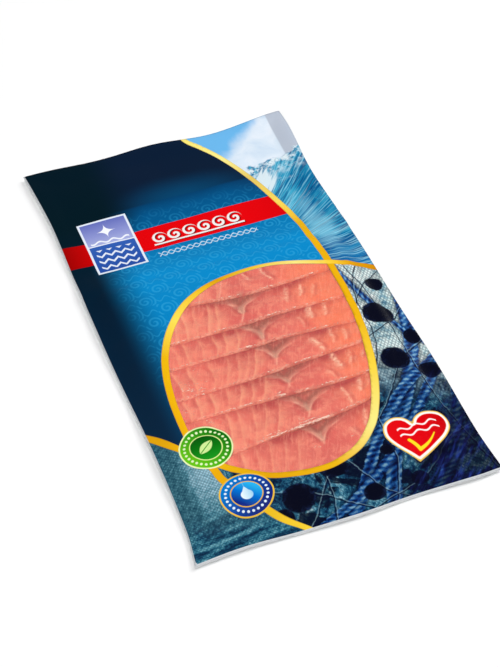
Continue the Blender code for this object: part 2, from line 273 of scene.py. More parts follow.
def back_height(x, y):
    wave = 0.8 + 0.35 * np.sin(0.075 * y + 0.4) + 0.3 * np.sin(0.11 * x + 1.3)
    lift = EDGE_LIFT * wave * (1 - ease(inset(x, y) / EDGE_LIFT_RUN))
    head = 0.35 * (1 + np.sin(0.06 * x + 0.09 * y)) * ease((y - 44) / 24)
    corner = np.hypot(PACK_W / 2 - x, PACK_L / 2 - y)
    return lift + head + CURL * (1 - ease(corner / CURL_RUN)) ** 2


TENT = 0.5            # how fast the film falls away in front of a slice's edge, per mm squared
TENT_START = 0.3
SOFTEN = (-0.8, -0.4, 0, 0.4, 0.8)   # offsets over which the film's own stiffness evens it out


def crown(x, y):
    """Underside of the film over the slices: pulled tight over their edges."""
    x = np.clip(x, SLICE_X - SLICE_HALF, SLICE_X + SLICE_HALF)
    y = np.clip(y, near_edge(SLICES - 1, x), far_edge(0, x))
    total = np.zeros_like(x)
    for offset in SOFTEN:
        at = y + offset
        surface = np.full_like(x, BOARD)
        for i in range(SLICES):
            near, far = near_edge(i, x), far_edge(i, x)
            beyond = np.maximum(near - TENT_START - at, 0)
            held = slice_top(i, x, np.clip(at, near, far), END_REACH) - TENT * beyond ** 2
            surface = np.maximum(surface, np.where(at < far + 0.6, held, BOARD))
        total += surface
    return mix(total / len(SOFTEN), CREST, BRIDGING) + GAP + SLACK


def off_slices(x, y, slack=0):
    """Distance out from the outline of all the slices."""
    across = np.abs(x - SLICE_X) - SLICE_HALF
    along = np.maximum(near_edge(SLICES - 1, x) - y, y - far_edge(0, x))
    return np.hypot(np.maximum(across - slack, 0), np.maximum(along - slack, 0))


def front_height(x, y):
    """Outer face of the printed film and of the window."""
    flat = back_height(x, y) + 2 * FILM
    outside = off_slices(x, y, 1)
    run = SKIRT + TOP_RUN * ease((y - FIRST_FAR_EDGE) / 6)
    return mix(crown(x, y) + FILM, flat, ease(outside / run))


# ---- the gold curves as fields over the pack ----
class Curve:
    """Signed distance to a curve, and the place along it, for many points."""

    def __init__(self, points, gold):
        self.path = smooth_path(points, CURVE_STEPS)
        steps = np.hypot(*np.diff(self.path, axis=0).T)
        self.run = np.concatenate(([0], np.cumsum(steps)))
        places = self.run[::CURVE_STEPS] / self.run[-1]
        self.stops = [(places[k], width, colour) for k, width, colour in gold]

    def width(self, share):
        at, widths, _ = zip(*self.stops)
        return np.interp(share, at, widths)

    def measure(self, x, y):
        """Distance, positive to the right of the way the curve runs, and share of its length."""
        best = np.full(len(x), 1e9)
        side, share = np.zeros(len(x)), np.zeros(len(x))
        for k in range(len(self.path) - 1):
            (x0, y0), (x1, y1) = self.path[k], self.path[k + 1]
            dx, dy = x1 - x0, y1 - y0
            size = math.hypot(dx, dy)
            t = np.clip(((x - x0) * dx + (y - y0) * dy) / size ** 2, 0, 1)
            gap = np.hypot(x - x0 - t * dx, y - y0 - t * dy)
            nearer = gap < best
            best[nearer] = gap[nearer]
            turn = (x - x0) * dy - (y - y0) * dx
            side[nearer] = np.where(turn[nearer] >= 0, gap[nearer], -gap[nearer])
            share[nearer] = ((self.run[k] + t * size) / self.run[-1])[nearer]
        return side, share


upper_curve = Curve(UPPER_CURVE, UPPER_GOLD)
lower_curve = Curve(LOWER_CURVE, LOWER_GOLD)


def curve_fields(x, y):
    """For both curves: which side a point is on, how deep it is in the gold, and the place along."""
    upper, upper_share = upper_curve.measure(x, y)
    lower, lower_share = lower_curve.measure(x, y)
    upper_gold = upper_curve.width(upper_share) / 2 - np.abs(upper)
    lower_gold = lower_curve.width(lower_share) / 2 - np.abs(lower)
    return {"upper_side": upper, "lower_side": -lower, "upper_gold": upper_gold, "lower_gold": lower_gold,
            "upper_share": upper_share, "lower_share": lower_share}


def inside_gold(x, y):
    """True within the inner edges of the two gold curves."""
    f = curve_fields(x, y)
    return (f["upper_side"] < 0) & (f["lower_side"] < 0) & (f["upper_gold"] < 0) & (f["lower_gold"] < 0)


def in_window(x, y):
    """True where the film is clear: inside the gold and clear of the green field."""
    return inside_gold(x, y) & (np.hypot(x - GREEN[0], y - GREEN[1]) > GREEN[2])


WINDOW_MIDDLE = (0, -42)
WINDOW_REACH = (20, 90)  # its border is between these distances from its middle
WINDOW_CORNERS, BADGE_CORNERS = 640, 96
HALVINGS = 16


def gold_outline():
    """Corners of the area inside the gold, found by halving at even angles round its middle."""
    middle = np.array(WINDOW_MIDDLE)
    ways = circle(0, 0, 1, WINDOW_CORNERS)
    low, high = (np.full(WINDOW_CORNERS, reach) for reach in WINDOW_REACH)
    for _ in range(HALVINGS):
        half = (low + high) / 2
        spots = middle + ways * half[:, None]
        inside = inside_gold(spots[:, 0], spots[:, 1])
        low, high = np.where(inside, half, low), np.where(inside, high, half)
    return middle + ways * low[:, None]


def circle(x, y, radius, count):
    turns = np.linspace(0, 2 * math.pi, count, endpoint=False)
    return np.stack((x + radius * np.cos(turns), y + radius * np.sin(turns)), 1)


def heart_outline():
    left = smooth_path((HEART_TIP, *HEART_LEFT, HEART_CLEFT), 4)
    right = smooth_path((HEART_CLEFT, *HEART_RIGHT, HEART_TIP), 4)
    return np.vstack((left[:-1], right[:-1]))


def depth_inside(line, x, y):
    """Distance to a closed line, positive inside it."""
    best, inside = np.full(len(x), 1e9), np.zeros(len(x), bool)
    for (x0, y0), (x1, y1) in zip(line, np.roll(line, -1, 0)):
        dx, dy = x1 - x0, y1 - y0
        t = np.clip(((x - x0) * dx + (y - y0) * dy) / (dx * dx + dy * dy), 0, 1)
        best = np.minimum(best, np.hypot(x - x0 - t * dx, y - y0 - t * dy))
        if dy:
            inside ^= ((y0 > y) != (y1 > y)) & (x < x0 + (y - y0) / dy * dx)
    return np.where(inside, best, -best)


# ---- the plan of the front film ----
COLUMN_STEP = 1.25
ROW_STEP = 1.4
STEP_ROWS = (-2.6, -2, -1.4, -0.9, -0.4, 0.1, 0.8, 1.8)   # about each slice's edge
MARGIN_ROWS = (0, 0.9, 2.2, 3.6, 5.2, 7, 9, 11.2)
CLEAR_OF_LINE = 0.4   # grid points nearer than this to a drawn line are left out


def film_rows(x):
    """The y of each grid line for given x, from the bottom edge to the top."""
    marks = [bottom_edge(x) + inset for inset in MARGIN_ROWS]
    for i in reversed(range(SLICES)):
        marks += [near_edge(i, x) + step for step in STEP_ROWS]
    marks += [np.full_like(x, FIRST_FAR_EDGE + step) for step in (0, SKIRT)]
    marks += [top_edge(x) - inset for inset in reversed(MARGIN_ROWS)]
    rows = []
    for low, high in zip(marks, marks[1:]):
        count = max(1, round(float((high - low).max()) / ROW_STEP))
        rows += [mix(low, high, k / count) for k in range(count)]
    return rows + [marks[-1]]


def film_grid():
    """Plan points of the front film in rows, following its wavy edges."""
    columns = np.linspace(-PACK_W / 2, PACK_W / 2, round(PACK_W / COLUMN_STEP) + 1)
    share = columns / PACK_W + 0.5
    near_y = np.array(film_rows(columns))
    x = mix(left_edge(near_y), right_edge(near_y), share)
    y = np.array([film_rows(line)[k] for k, line in enumerate(x)])
    return np.stack((x, y), -1)


def rim_of(grid):
    """The outer ring of a grid, in order."""
    return np.concatenate((grid[0], grid[1:, -1], grid[-1, -2::-1], grid[-2:0:-1, 0]))


def cells_of(shape):
    """Numbers of a grid's points, and of the four corners of each of its cells."""
    number = np.arange(shape[0] * shape[1]).reshape(shape)
    return number, (number[:-1, :-1], number[:-1, 1:], number[1:, 1:], number[1:, :-1])


def film_plan():
    """Corners and triangles of the front film, with its drawn lines along edges."""
    grid = film_grid()
    lines = [rim_of(grid), gold_outline(), circle(*GREEN, BADGE_CORNERS), heart_outline()]
    inner = grid[1:-1, 1:-1].reshape(-1, 2)
    for line in lines[1:]:
        inner = inner[nearest(inner, line) > CLEAR_OF_LINE]
    points, edges = [inner], []
    start = len(inner)
    for line in lines:
        points.append(line)
        edges += [(start + k, start + (k + 1) % len(line)) for k in range(len(line))]
        start += len(line)
    made = delaunay_2d_cdt([Vector(p) for p in np.vstack(points)], edges, [], 1, 1e-4)
    return np.array(made[0]), np.array(made[2])


def nearest(points, line):
    """Distance from each point to the closest corner of a line."""
    best = np.full(len(points), 1e9)
    for corner in line:
        best = np.minimum(best, np.hypot(*(points - corner).T))
    return best


# ---- mesh makers ----
def put_in(name, data):
    """A new object in the scene."""
    made = bpy.data.objects.new(name, data)
    bpy.context.scene.collection.objects.link(made)
    return made


def add_mesh(name, corners, faces, replaced):
    """A piece from corners in millimetres."""
    mesh = bpy.data.meshes.new(name)
    mesh.from_pydata((corners * MM).tolist(), [], faces)
    mesh.validate()
    mesh.shade_smooth()
    piece = put_in(name, mesh)
    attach(piece, "root")
    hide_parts(*replaced)
    return piece


def shell(plan, upper, lower, front, start, end):
    """Corners and faces of a solid: its front, the same below it, and walls along the sides of its rim."""
    count = len(plan)
    corners = np.vstack((np.column_stack((plan, upper)), np.column_stack((plan, lower))))
    walls = np.column_stack((end, start, start + count, end + count))
    return corners, front.tolist() + (front[:, ::-1] + count).tolist() + walls.tolist()


def closed_sheet(plan, triangles, upper, lower):
    """Corners and faces of a thin solid between two heights over a triangulated plan."""
    used = np.unique(triangles)
    place = np.full(len(plan), -1)
    place[used] = np.arange(len(used))
    plan, triangles = plan[used], place[triangles]
    sides = np.vstack((triangles[:, :2], triangles[:, 1:], triangles[:, ::-2]))
    keys = np.sort(sides, 1) @ np.array((len(plan), 1))
    _, first, times = np.unique(keys, return_index=True, return_counts=True)
    rim = sides[first[times == 1]]
    return *shell(plan, upper(*plan.T), lower(*plan.T), triangles, *rim.T), len(triangles)


def give(piece, name, values):
    """Store one number a corner, for the material to read."""
    piece.data.attributes.new(name, "FLOAT", "POINT").data.foreach_set("value", values.astype(np.float32))


def pull(items, name, size=1, kind=int):
    """One property of all the items of a mesh, as an array."""
    values = np.zeros(len(items) * size, kind)
    items.foreach_get(name, values)
    return values


def give_plan_map(piece, low, high, front_faces, front_share=0.88):
    """A map that lays the front over most of the square, and the rest below it."""
    mesh = piece.data
    totals = pull(mesh.polygons, "loop_total")
    front = np.repeat(np.arange(len(totals)) < front_faces, totals)
    corners = pull(mesh.vertices, "co", 3, float).reshape(-1, 3)
    place = (corners[pull(mesh.loops, "vertex_index"), :2] / MM - low) / (np.array(high) - low)
    rest = 1 - front_share
    v = np.where(front, 1 - front_share * (1 - place[:, 1]), rest * 0.94 * place[:, 1])
    layer = mesh.uv_layers.new(name="OFBake")
    layer.data.foreach_set("uv", np.column_stack((place[:, 0], v)).astype(np.float32).ravel())


# ---- materials ----
def linear(colour):
    """A hex sRGB colour as the linear one that shaders take."""
    c = np.array([colour >> shift & 255 for shift in (16, 8, 0)]) / 255
    c = np.where(c <= 0.04045, c / 12.92, ((c + 0.055) / 1.055) ** 2.4)
    return (*c, 1)


def plug(tree, slot, value):
    """Link a slot to a value or a socket, or set it."""
    if isinstance(value, Value):
        value = value.socket
    if isinstance(value, bpy.types.NodeSocket):
        tree.links.new(value, slot)
    else:
        slot.default_value = value


class Value:
    """A number in a material's node tree that takes part in arithmetic."""

    def __init__(self, tree, socket):
        self.tree, self.socket = tree, socket

    def put(self, kind, setting, choice, values):
        """This value and others, put through a new node."""
        node = self.tree.nodes.new(kind)
        setattr(node, setting, choice)
        for slot, value in zip(node.inputs, (self, *values)):
            plug(self.tree, slot, value)
        return Value(self.tree, node.outputs[0])

    def math(self, kind, *others):
        return self.put("ShaderNodeMath", "operation", kind, others)

    def __rsub__(self, other):
        return (self * -1) + other

    def length(self, other):
        return (self * self + other * other).sqrt()

    def rise(self, start, end, kind="SMOOTHSTEP"):
        """0 below start and 1 above end."""
        return self.put("ShaderNodeMapRange", "interpolation_type", kind, (start, end))

    def line(self, half, soft=0.12):
        """1 where this is within half of 0."""
        return (half - self.abs()).inside(soft)

    def wrap(self, pitch):
        """This, repeated over each pitch from -pitch / 2 to pitch / 2."""
        return ((self / pitch).fract() - 0.5) * pitch

    def turn(self, across):
        """The angle of this way up and that way across, in full turns."""
        return self.math("ARCTAN2", across) / (2 * math.pi)

    def inside(self, soft=0.12):
        """1 where this distance into a shape is positive, with a thin soft edge."""
        return self.rise(-soft, soft)


for kind, names in {
    "ADD": "__add__ __radd__", "SUBTRACT": "__sub__", "MULTIPLY": "__mul__ __rmul__", "DIVIDE": "__truediv__",
    "POWER": "__pow__", "ABSOLUTE": "abs", "SQRT": "sqrt", "SINE": "sin", "FLOOR": "floor", "FRACT": "fract",
    "MINIMUM": "low", "MAXIMUM": "high",
}.items():
    for name in names.split():
        setattr(Value, name, lambda self, *others, kind=kind: self.math(kind, *others))


class Paint:
    """Builds a material from fields of colour."""

    def __init__(self, name):
        self.material = bpy.data.materials.new(name)
        self.material.use_nodes = True
        self.tree = self.material.node_tree
        self.shader = self.tree.nodes["Principled BSDF"]
        where = self.node("TexCoord").outputs["Object"]
        self.place = self.node("VectorMath", {0: where, "Scale": 1 / MM}, operation="SCALE").outputs[0]
        parts = self.node("SeparateXYZ", {0: self.place})
        self.x, self.y, self.z = (Value(self.tree, out) for out in parts.outputs)

    def node(self, kind, inputs=None, **settings):
        """A new node, with some inputs set or linked."""
        node = self.tree.nodes.new("ShaderNode" + kind)
        for name, value in settings.items():
            setattr(node, name, value)
        for name, value in (inputs or {}).items():
            plug(self.tree, node.inputs[name], value)
        return node

    def read(self, name):
        return Value(self.tree, self.node("Attribute", attribute_name=name).outputs["Fac"])

    def at(self, x, y, z=0):
        """A place as a vector, from three numbers."""
        return self.node("CombineXYZ", {0: x, 1: y, 2: z}).outputs[0]

    def noise(self, size, detail=2, place=None, distortion=0, rough=0.5):
        """Noise from 0 to 1 with features about size millimetres across."""
        made = self.node("TexNoise", {"Vector": place or self.place, "Scale": 1 / size, "Detail": detail,
                                      "Roughness": rough, "Distortion": distortion})
        return Value(self.tree, made.outputs["Fac"])

    def grain(self, x, y, z=0, detail=3, **settings):
        """Noise over a place that the three numbers give, for streaks and fibres."""
        return self.noise(1, detail, self.at(x, y, z), **settings)

    def mix(self, base, *layers):
        """A colour under layers, each given as a colour and how much of it shows."""
        for colour, share in zip(layers[::2], layers[1::2]):
            node = self.node("Mix", data_type="RGBA")
            for slot, value in (0, share), (6, base), (7, colour):
                plain = slot and isinstance(value, int)
                plug(self.tree, node.inputs[slot], linear(value) if plain else value)
            base = node.outputs[2]
        return base

    def blend(self, value, stops):
        """A colour ramp over a value: stops hold values, each before its colour, in rising order."""
        low, high = stops[0], stops[-2]
        ramp = self.node("ValToRGB", {0: (value - low) / (high - low)})
        points = ramp.color_ramp.elements
        for _ in stops[4::2]:
            points.new(0.5)
        for point, at, colour in zip(points, stops[::2], stops[1::2]):
            point.position, point.color = (at - low) / (high - low), linear(colour)
        return ramp.outputs[0]

    def bump(self, height, strength, distance):
        made = self.node("Bump", {"Height": height, "Strength": strength, "Distance": distance * MM})
        plug(self.tree, self.shader.inputs["Normal"], made.outputs[0])

    def use(self, colour, roughness, **settings):
        """Give the shader its colour, roughness and plain values."""
        for name, value in {"Base_Color": colour, "Roughness": roughness, **settings}.items():
            plug(self.tree, self.shader.inputs[name.replace("_", " ")], value)
        return self.material


# ---- the films ----
FRONT_SHEET = 0.15
CLEAR_SHEET = 0.15
BACK_SHEET = 0.35
WELD_GAP, WELD_RUN = 0.02, 5
BACK_GRID = (101, 57)
BACK_WAVE = 0.06
FISH_FADE = 16
PLAN_LOW, PLAN_HIGH = (-72, -131), (72, 131)
# where the clear film catches the light along the slices' edges: slice, x from, x to, strength
GLINTS = (
    (2, -36, -28, 0.6), (2, -20, -14, 0.6), (2, -10, -5, 1), (2, 11, 15, 0.7), (3, -38, -35, 0.7),
    (3, -8, -3, 0.7), (3, 0, 12, 0.6), (3, 20, 36, 0.6), (4, -36, -28, 0.5), (4, -20, -9, 0.6),
    (4, -7, -1, 1), (4, 8, 12, 0.3), (5, -36, -22, 0.6), (5, -24, -6, 0.85), (5, -8, 12, 1.05),
    (5, 13, 34, 0.55), (1, -12, -4, 0.4), (1, 8, 14, 0.4),
)
# loose creases in the clear film, bright with painted glints: x, y, half length, half width, turn in degrees,
# strength
CREASES = (
    (-45, -40.5, 2.2, 0.5, 105, 1), (-43.6, -44.6, 1.4, 0.5, 95, 0.9), (-38.4, -42.4, 1, 0.8, 60, 0.7),
    (-37, -46, 0.9, 0.8, 120, 0.8), (-22, -37, 1.4, 0.4, 80, 0.6), (-24.6, -39.6, 1, 0.5, 60, 0.5),
    (-36, -33, 2.6, 0.35, 80, 0.5), (-38.6, -33.4, 2.2, 0.35, 100, 0.4), (-35.5, -62, 3, 0.5, 10, 0.5),
    (-37.6, -60.6, 1.2, 0.6, 150, 0.6), (-47, -54.4, 2.4, 0.4, 100, 0.4), (-45.5, -50.2, 3.2, 0.35, 30, 0.4),
    (1, -92, 3, 0.7, 5, 0.8), (-1.6, -90.8, 1.6, 0.5, 30, 0.7), (16.6, -91.6, 2.6, 0.5, 5, 0.7),
    (-4.6, -57.4, 2.2, 0.8, 10, 0.9), (14.4, -72.6, 2.2, 0.4, -40, 0.6), (-1.8, -75.4, 2.8, 1, 5, 0.9),
    (-3, 15, 5.5, 0.3, 66, 0.3), (16.6, 14.6, 5.6, 0.3, 112, 0.35), (-20.8, -95, 2.2, 0.35, 30, 0.5),
    (-17, -78.3, 8, 0.6, 6, 0.85), (2, -76.9, 9, 0.65, 4, 1), (-6, -79, 12, 0.5, 5, 0.7),
    (-31, -1, 3, 0.3, 70, 0.25), (35, -33, 3.6, 0.3, 96, 0.3), (-6, -1.2, 3.4, 0.3, 62, 0.3),
)
# places with many small painted glints: x, y, radius, strength
FLECKED = (
    (-40, -41, 9, 0.62), (-25, -37, 6, 0.5), (-38, -62, 7, 0.55), (-46, -53, 6, 0.5),
    (-36, -31, 6, 0.5), (-3, -92, 6, 0.4), (18, -91, 5, 0.4), (-22, -97, 5, 0.4),
    (33, -14, 5, 0.35), (-44, -22, 5, 0.4),
)


def crease_and_glint_strength(x, y):
    """How much the clear film is creased and carries painted glints, from 0 to about 1."""
    total = np.zeros_like(x)
    for i in range(SLICES - 1):
        away = y - near_edge(i, x) - 0.4
        total = np.maximum(total, (0.64 + 0.26 * ripple(x, y, 7, 35 + i)) * bell(away / 0.7))
    for cx, cy, radius, strength in FLECKED:
        total = np.maximum(total, strength * np.exp(-((x - cx) ** 2 + (y - cy) ** 2) / radius ** 2))
    for i, start, end, strength in GLINTS:
        away = y - near_edge(i, x) - 0.2
        along = ease((x - start) / 1.6) * ease((end - x) / 1.6)
        total = np.maximum(total, strength * along * bell(away / (0.5 + 0.5 * strength)))
    for cx, cy, half_long, half_wide, turn, strength in CREASES:
        c, s = math.cos(math.radians(turn)), math.sin(math.radians(turn))
        u, v = (x - cx) * c + (y - cy) * s, (y - cy) * c - (x - cx) * s
        total = np.maximum(total, strength * np.exp(-(u / half_long) ** 2 - (v / half_wide) ** 2))
    return total


class Table:
    """A smooth function of the plan, kept on a grid and read back between its points."""
    ACROSS, ALONG = 1, 0.25

    def __init__(self, function):
        x = np.arange(-74, 74.5, self.ACROSS)
        y = np.arange(-134, 134.1, self.ALONG)
        grid_x, grid_y = np.meshgrid(x, y)
        self.start = x[0], y[0]
        self.grid = function(grid_x.ravel(), grid_y.ravel()).reshape(grid_x.shape)

    def __call__(self, x, y):
        u, v = (x - self.start[0]) / self.ACROSS, (y - self.start[1]) / self.ALONG
        j = np.clip(u.astype(int), 0, self.grid.shape[1] - 2)
        k = np.clip(v.astype(int), 0, self.grid.shape[0] - 2)
        u, v = u - j, v - k
        low = mix(self.grid[k, j], self.grid[k, j + 1], u)
        return mix(low, mix(self.grid[k + 1, j], self.grid[k + 1, j + 1], u), v)


SPAN = 6                # the stiffer printed film spans the steps between slices
SPAN_SAG = 0.012        # its sag, per mm squared
SPAN_ENDS = (-114, 36)  # y beyond which it lies on the pack as it is
SPAN_SOFT = 1           # how far it is evened out
RIM_BAND = 5            # the window's film leaves the slices' steps this far from its border
CLEAR_SPAN = 0.3        # how much of that span the clear film keeps over the steps


def spanning(tight):
    """A table of the film where it spans from crest to crest."""
    step = Table.ALONG
    reach, soft = round(SPAN / step), round(SPAN_SOFT / step)
    rows = len(tight.grid)
    padded = np.pad(tight.grid, ((reach, reach), (0, 0)), mode="edge")
    spanned = tight.grid.copy()
    for k in range(2 * reach + 1):
        spanned = np.maximum(spanned, padded[k:k + rows] - SPAN_SAG * ((k - reach) * step) ** 2)
    padded = np.pad(spanned, ((soft, soft), (0, 0)), mode="edge")
    made = copy.copy(tight)
    made.grid = np.mean([padded[k:k + rows] for k in range(2 * soft + 1)], axis=0)
    return made


def beyond_window(x, y):
    """Distance out of the clear window, negative inside it."""
    f = curve_fields(x, y)
    badge = GREEN[2] - np.hypot(x - GREEN[0], y - GREEN[1])
    return np.maximum.reduce((f["upper_side"], f["lower_side"], badge))


tight_film = Table(front_height)
spanned_film = spanning(tight_film)
window_depth = Table(beyond_window)


def film_height(x, y):
    """The front face: tight over the slices in the window, spanning their steps elsewhere."""
    share = mix(CLEAR_SPAN, 1, ease((window_depth(x, y) + RIM_BAND) / RIM_BAND))
    share = share * ease((SPAN_ENDS[1] - y) / SPAN) * ease((y - SPAN_ENDS[0]) / SPAN)
    return mix(tight_film(x, y), spanned_film(x, y), share)


def printed_height(x, y):
    """The printed film, with soft buckles where it comes down to the seal."""
    slope = bump((off_slices(x, y) - 7) / 9)
    head = ease((y - 40) / 16) * ease((top_edge(x) - y) / 10)
    return (film_height(x, y) + BUCKLE * slope * ripple(x, y, 7, 21) + HEAD_WAVE * head * ripple(x, y, 17, 23)
            + FINE_WAVE * head * ripple(x, y, 6, 24))


def printed_underside(x, y):
    return printed_height(x, y) - FRONT_SHEET


def clear_height(x, y):
    """The clear film, creased along the slices' edges and in loose flecks."""
    clear = ease(-window_depth(x, y) / 4)
    return (film_height(x, y) + clear * (DIMPLE * ripple(x, y, 3, 31) + FINE_DIMPLE * ripple(x, y, 1.3, 32)
            + CREASE_DEPTH * crease_and_glint_strength(x, y) * ripple(x, y, 1.1, 33)))


def clear_underside(x, y):
    return clear_height(x, y) - CLEAR_SHEET


def finer(plan, triangles):
    """Each triangle in four, with shared middle points."""
    sides = np.sort(np.vstack((triangles[:, :2], triangles[:, 1:], triangles[:, ::-2])), 1)
    kept, which = np.unique(sides, axis=0, return_inverse=True)
    middle = len(plan) + which.reshape(3, -1)
    a, b, c = triangles.T
    ab, bc, ca = middle
    parts = ((a, ab, ca), (ab, b, bc), (ca, bc, c), (ab, bc, ca))
    return np.vstack((plan, plan[kept].mean(1))), np.vstack([np.column_stack(part) for part in parts])


BUCKLE, HEAD_WAVE, FINE_WAVE = 0.16, 0.3, 0.08        # heights of the printed film's unevenness
DIMPLE, FINE_DIMPLE, CREASE_DEPTH = 0.05, 0.03, 0.14  # and of the clear film's
LEFT_MARGIN, BOTTOM_MARGIN = 0.6, 0.9   # the print stops this far from the film's edge


def unprinted(x, y):
    """Depth into the unprinted margins, positive within them."""
    return np.maximum(LEFT_MARGIN - (x - left_edge(y)), BOTTOM_MARGIN - (y - bottom_edge(x)))


plan, triangles = film_plan()
middles = plan[triangles].mean(1)
clear = in_window(*middles.T)

corners, faces, front_faces = closed_sheet(plan, triangles[~clear], printed_height, printed_underside)
printed = add_mesh("printed_front", corners, faces, ["pouch"])
at = corners[:, :2].T
fields = {**curve_fields(*at), "heart": depth_inside(heart_outline(), *at), "margin": unprinted(*at)}
for name, values in fields.items():
    give(printed, name, values)
give_plan_map(printed, PLAN_LOW, PLAN_HIGH, front_faces)

window_plan, window_triangles = finer(plan, triangles[clear])
corners, faces, front_faces = closed_sheet(window_plan, window_triangles, clear_height, clear_underside)
window = add_mesh("clear_window", corners, faces, ["window_film"])
give(window, "crease_and_glint", crease_and_glint_strength(*corners[:, :2].T))
give_plan_map(window, (-53, -104), (50, 23), front_faces)


def back_plan():
    """A coarse grid over the whole pack, for its plain back."""
    rows, share = (np.linspace(0, 1, count) for count in BACK_GRID)
    columns = (share - 0.5) * PACK_W
    y = mix(bottom_edge(columns), top_edge(columns), rows[:, None])
    x = mix(left_edge(y), right_edge(y), share)
    y = mix(bottom_edge(x), top_edge(x), rows[:, None])
    _, (a, b, c, d) = cells_of(x.shape)
    lower = np.stack((a, b, c), -1).reshape(-1, 3)
    upper = np.stack((a, c, d), -1).reshape(-1, 3)
    return np.column_stack((x.ravel(), y.ravel())), np.vstack((lower, upper))


def back_inner_face(x, y):
    """The upper face of the back film, a little uneven, and welded to the front at the pack's edge."""
    across = SLICE_HALF + FISH_FADE / 2 - np.abs(x - SLICE_X)
    over_fish = ease(across / FISH_FADE) * ease((40 - y) / FISH_FADE) * ease((y + 118) / FISH_FADE)
    face = back_height(x, y) + BACK_SHEET + (1 - over_fish) * BACK_WAVE * (1 + ripple(x, y, 9, 41))
    under_front = printed_underside(x, y) - WELD_GAP
    return mix(under_front, np.minimum(face, under_front), ease(inset(x, y) / WELD_RUN))


plan, triangles = back_plan()
corners, faces, front_faces = closed_sheet(plan, triangles, back_inner_face, back_height)
back = add_mesh("back", corners, faces, ["pouch"])
give_plan_map(back, PLAN_LOW, PLAN_HIGH, front_faces, 0.5)


# ---- the slices of salmon ----
COLUMN = 0.6            # mm between grid lines across a slice
FINE_ROW, COARSE_ROW = 0.5, 2
MAP_MARGIN = 0.5
EDGE_ROUND = 1.6
EDGE_LEFT = 0.1         # share of the thickness left at the very edge
EDGE_LEVEL = 0.08       # how high in the thickness that edge is
SWELL = 0.4             # how far the flesh rises into the room left under the film
SINK = 0.62             # how far a slice's edge sinks onto the slice below it
SQUEEZE = (0.72, 0.96)  # share of a hollow under the film that flesh fills, in the middle and at the sides
CLOSE = (0.3, 0.1)      # room between film and flesh, in the window and at its border
LOBE = 0.06             # how far the flesh bulges between its seams


def slice_grid(i):
    x = np.linspace(SLICE_X - SLICE_HALF, SLICE_X + SLICE_HALF, round(2 * SLICE_HALF / COLUMN) + 1)
    near, far = near_edge(i, x), far_edge(i, x)
    first = np.array((0, 0.08, 0.2, 0.36, 0.58, 0.9))
    seen = float((far - near).max()) - (OVERLAP if i else 0) + 1
    rows = np.concatenate((first, np.arange(1.4, seen, FINE_ROW)))
    # where a slice is too short for all its rows, they close up
    shares = [row / np.maximum(far - near, rows[-1] + 0.5) for row in rows]
    rest = max(3, round(OVERLAP / COARSE_ROW)) if i else 2
    last = shares[-1]
    shares += [mix(last, 1, k / rest) for k in range(1, rest + 1)]
    y = np.array([mix(near, far, share) for share in shares])
    return np.broadcast_to(x, y.shape), y


def add_vee(i, x, y, marks):
    """Two wings of dark muscle, their pale rims, and the line below their meeting point."""
    jx, jy, left_span, left_late, right_span, right_late = VEES[i]
    rise = near_edge(i - 1, np.array([jx]))[0] + 0.5 - jy
    above = near_edge(i - 1, x)
    s = np.clip((y - jy) / rise, 0, 1.25)
    wander = 0.25 * ripple(x, y, 4, 50 + i)
    from_rims = []
    for side, span, late in ((-1, left_span, left_late), (1, right_span, right_late)):
        bend = 2 * s ** 0.6 + span * s ** late
        slope = rise / np.hypot(rise, late * span * s ** (late - 1) + 0.8)
        from_rims.append((bend - side * (x - jx) + wander) * slope)
    from_left, from_right = from_rims
    inner = np.minimum(from_left, from_right)
    away = x - jx
    open_up = ease((y - jy + 0.6) / 2)
    # the muscle is darkest a little inside its rims, and painted shade darkens it further under the slice
    # above
    fade = bell(away / np.where(away < 0, 12, 18))
    body = ease(inner / 0.9 + 0.3)
    shade_under_edge = bell((above - y) / 2)
    muscle_and_shade = np.maximum(0.9 * shade_under_edge, bell((inner - 2.2) / 1.1))
    marks["dark"] = body * (0.12 + 0.88 * muscle_and_shade) * (0.08 + 0.92 * fade) * open_up
    # a deep rose band along the rims, outside them
    marks["rosy"] = 0.75 * bell((inner + 1) / 1.5) * bell(away / 12) * open_up
    broken = ease(0.55 + 0.7 * ripple(x, y, 3, 55 + i))
    left_rim = bell((from_left + 0.1) / 0.5) * bell(away / 6) * (away < 1)
    right_rim = bell((from_right + 0.1) / 0.45) * bell((away - 2) / 9) * (away > -1)
    # greyish fat fills the narrow foot and runs up inside the rims, more on one side
    foot = bell(away / (1 + 0.12 * (y - jy).clip(0))) * ease((jy + rise * 0.62 - y) / 4)
    favour = np.where(away < 0, *((0.95, 0.7), (0.5, 0.95))[i % 2])
    band_in = bell((inner - 0.7) / 0.75) * favour * bell(away / 7.5)
    tilt = 0.35 * (y - jy).clip(0)
    branch = bell((away + tilt) / 0.7) * ease((y - jy - rise * 0.3) / 2) * ease((above - 0.8 - y) / 1.2)
    marks["core"] = (np.maximum.reduce((foot, band_in, 0.6 * branch)) * open_up
                     * (0.8 + 0.3 * ripple(x, y, 2, 57 + i)))
    ex, ey = STEM_ENDS[i]
    share = np.clip((jy - y) / max(jy - ey, 0.1), 0, 1)
    stem = bell((x - mix(jx, ex, share)) / 0.45) * ease((y - ey + 0.6) / 1.5) * ease((jy + 1.5 - y) / 1.5)
    marks["rim"] = np.maximum(np.maximum(left_rim, 0.8 * right_rim) * broken * open_up, 0.75 * stem)


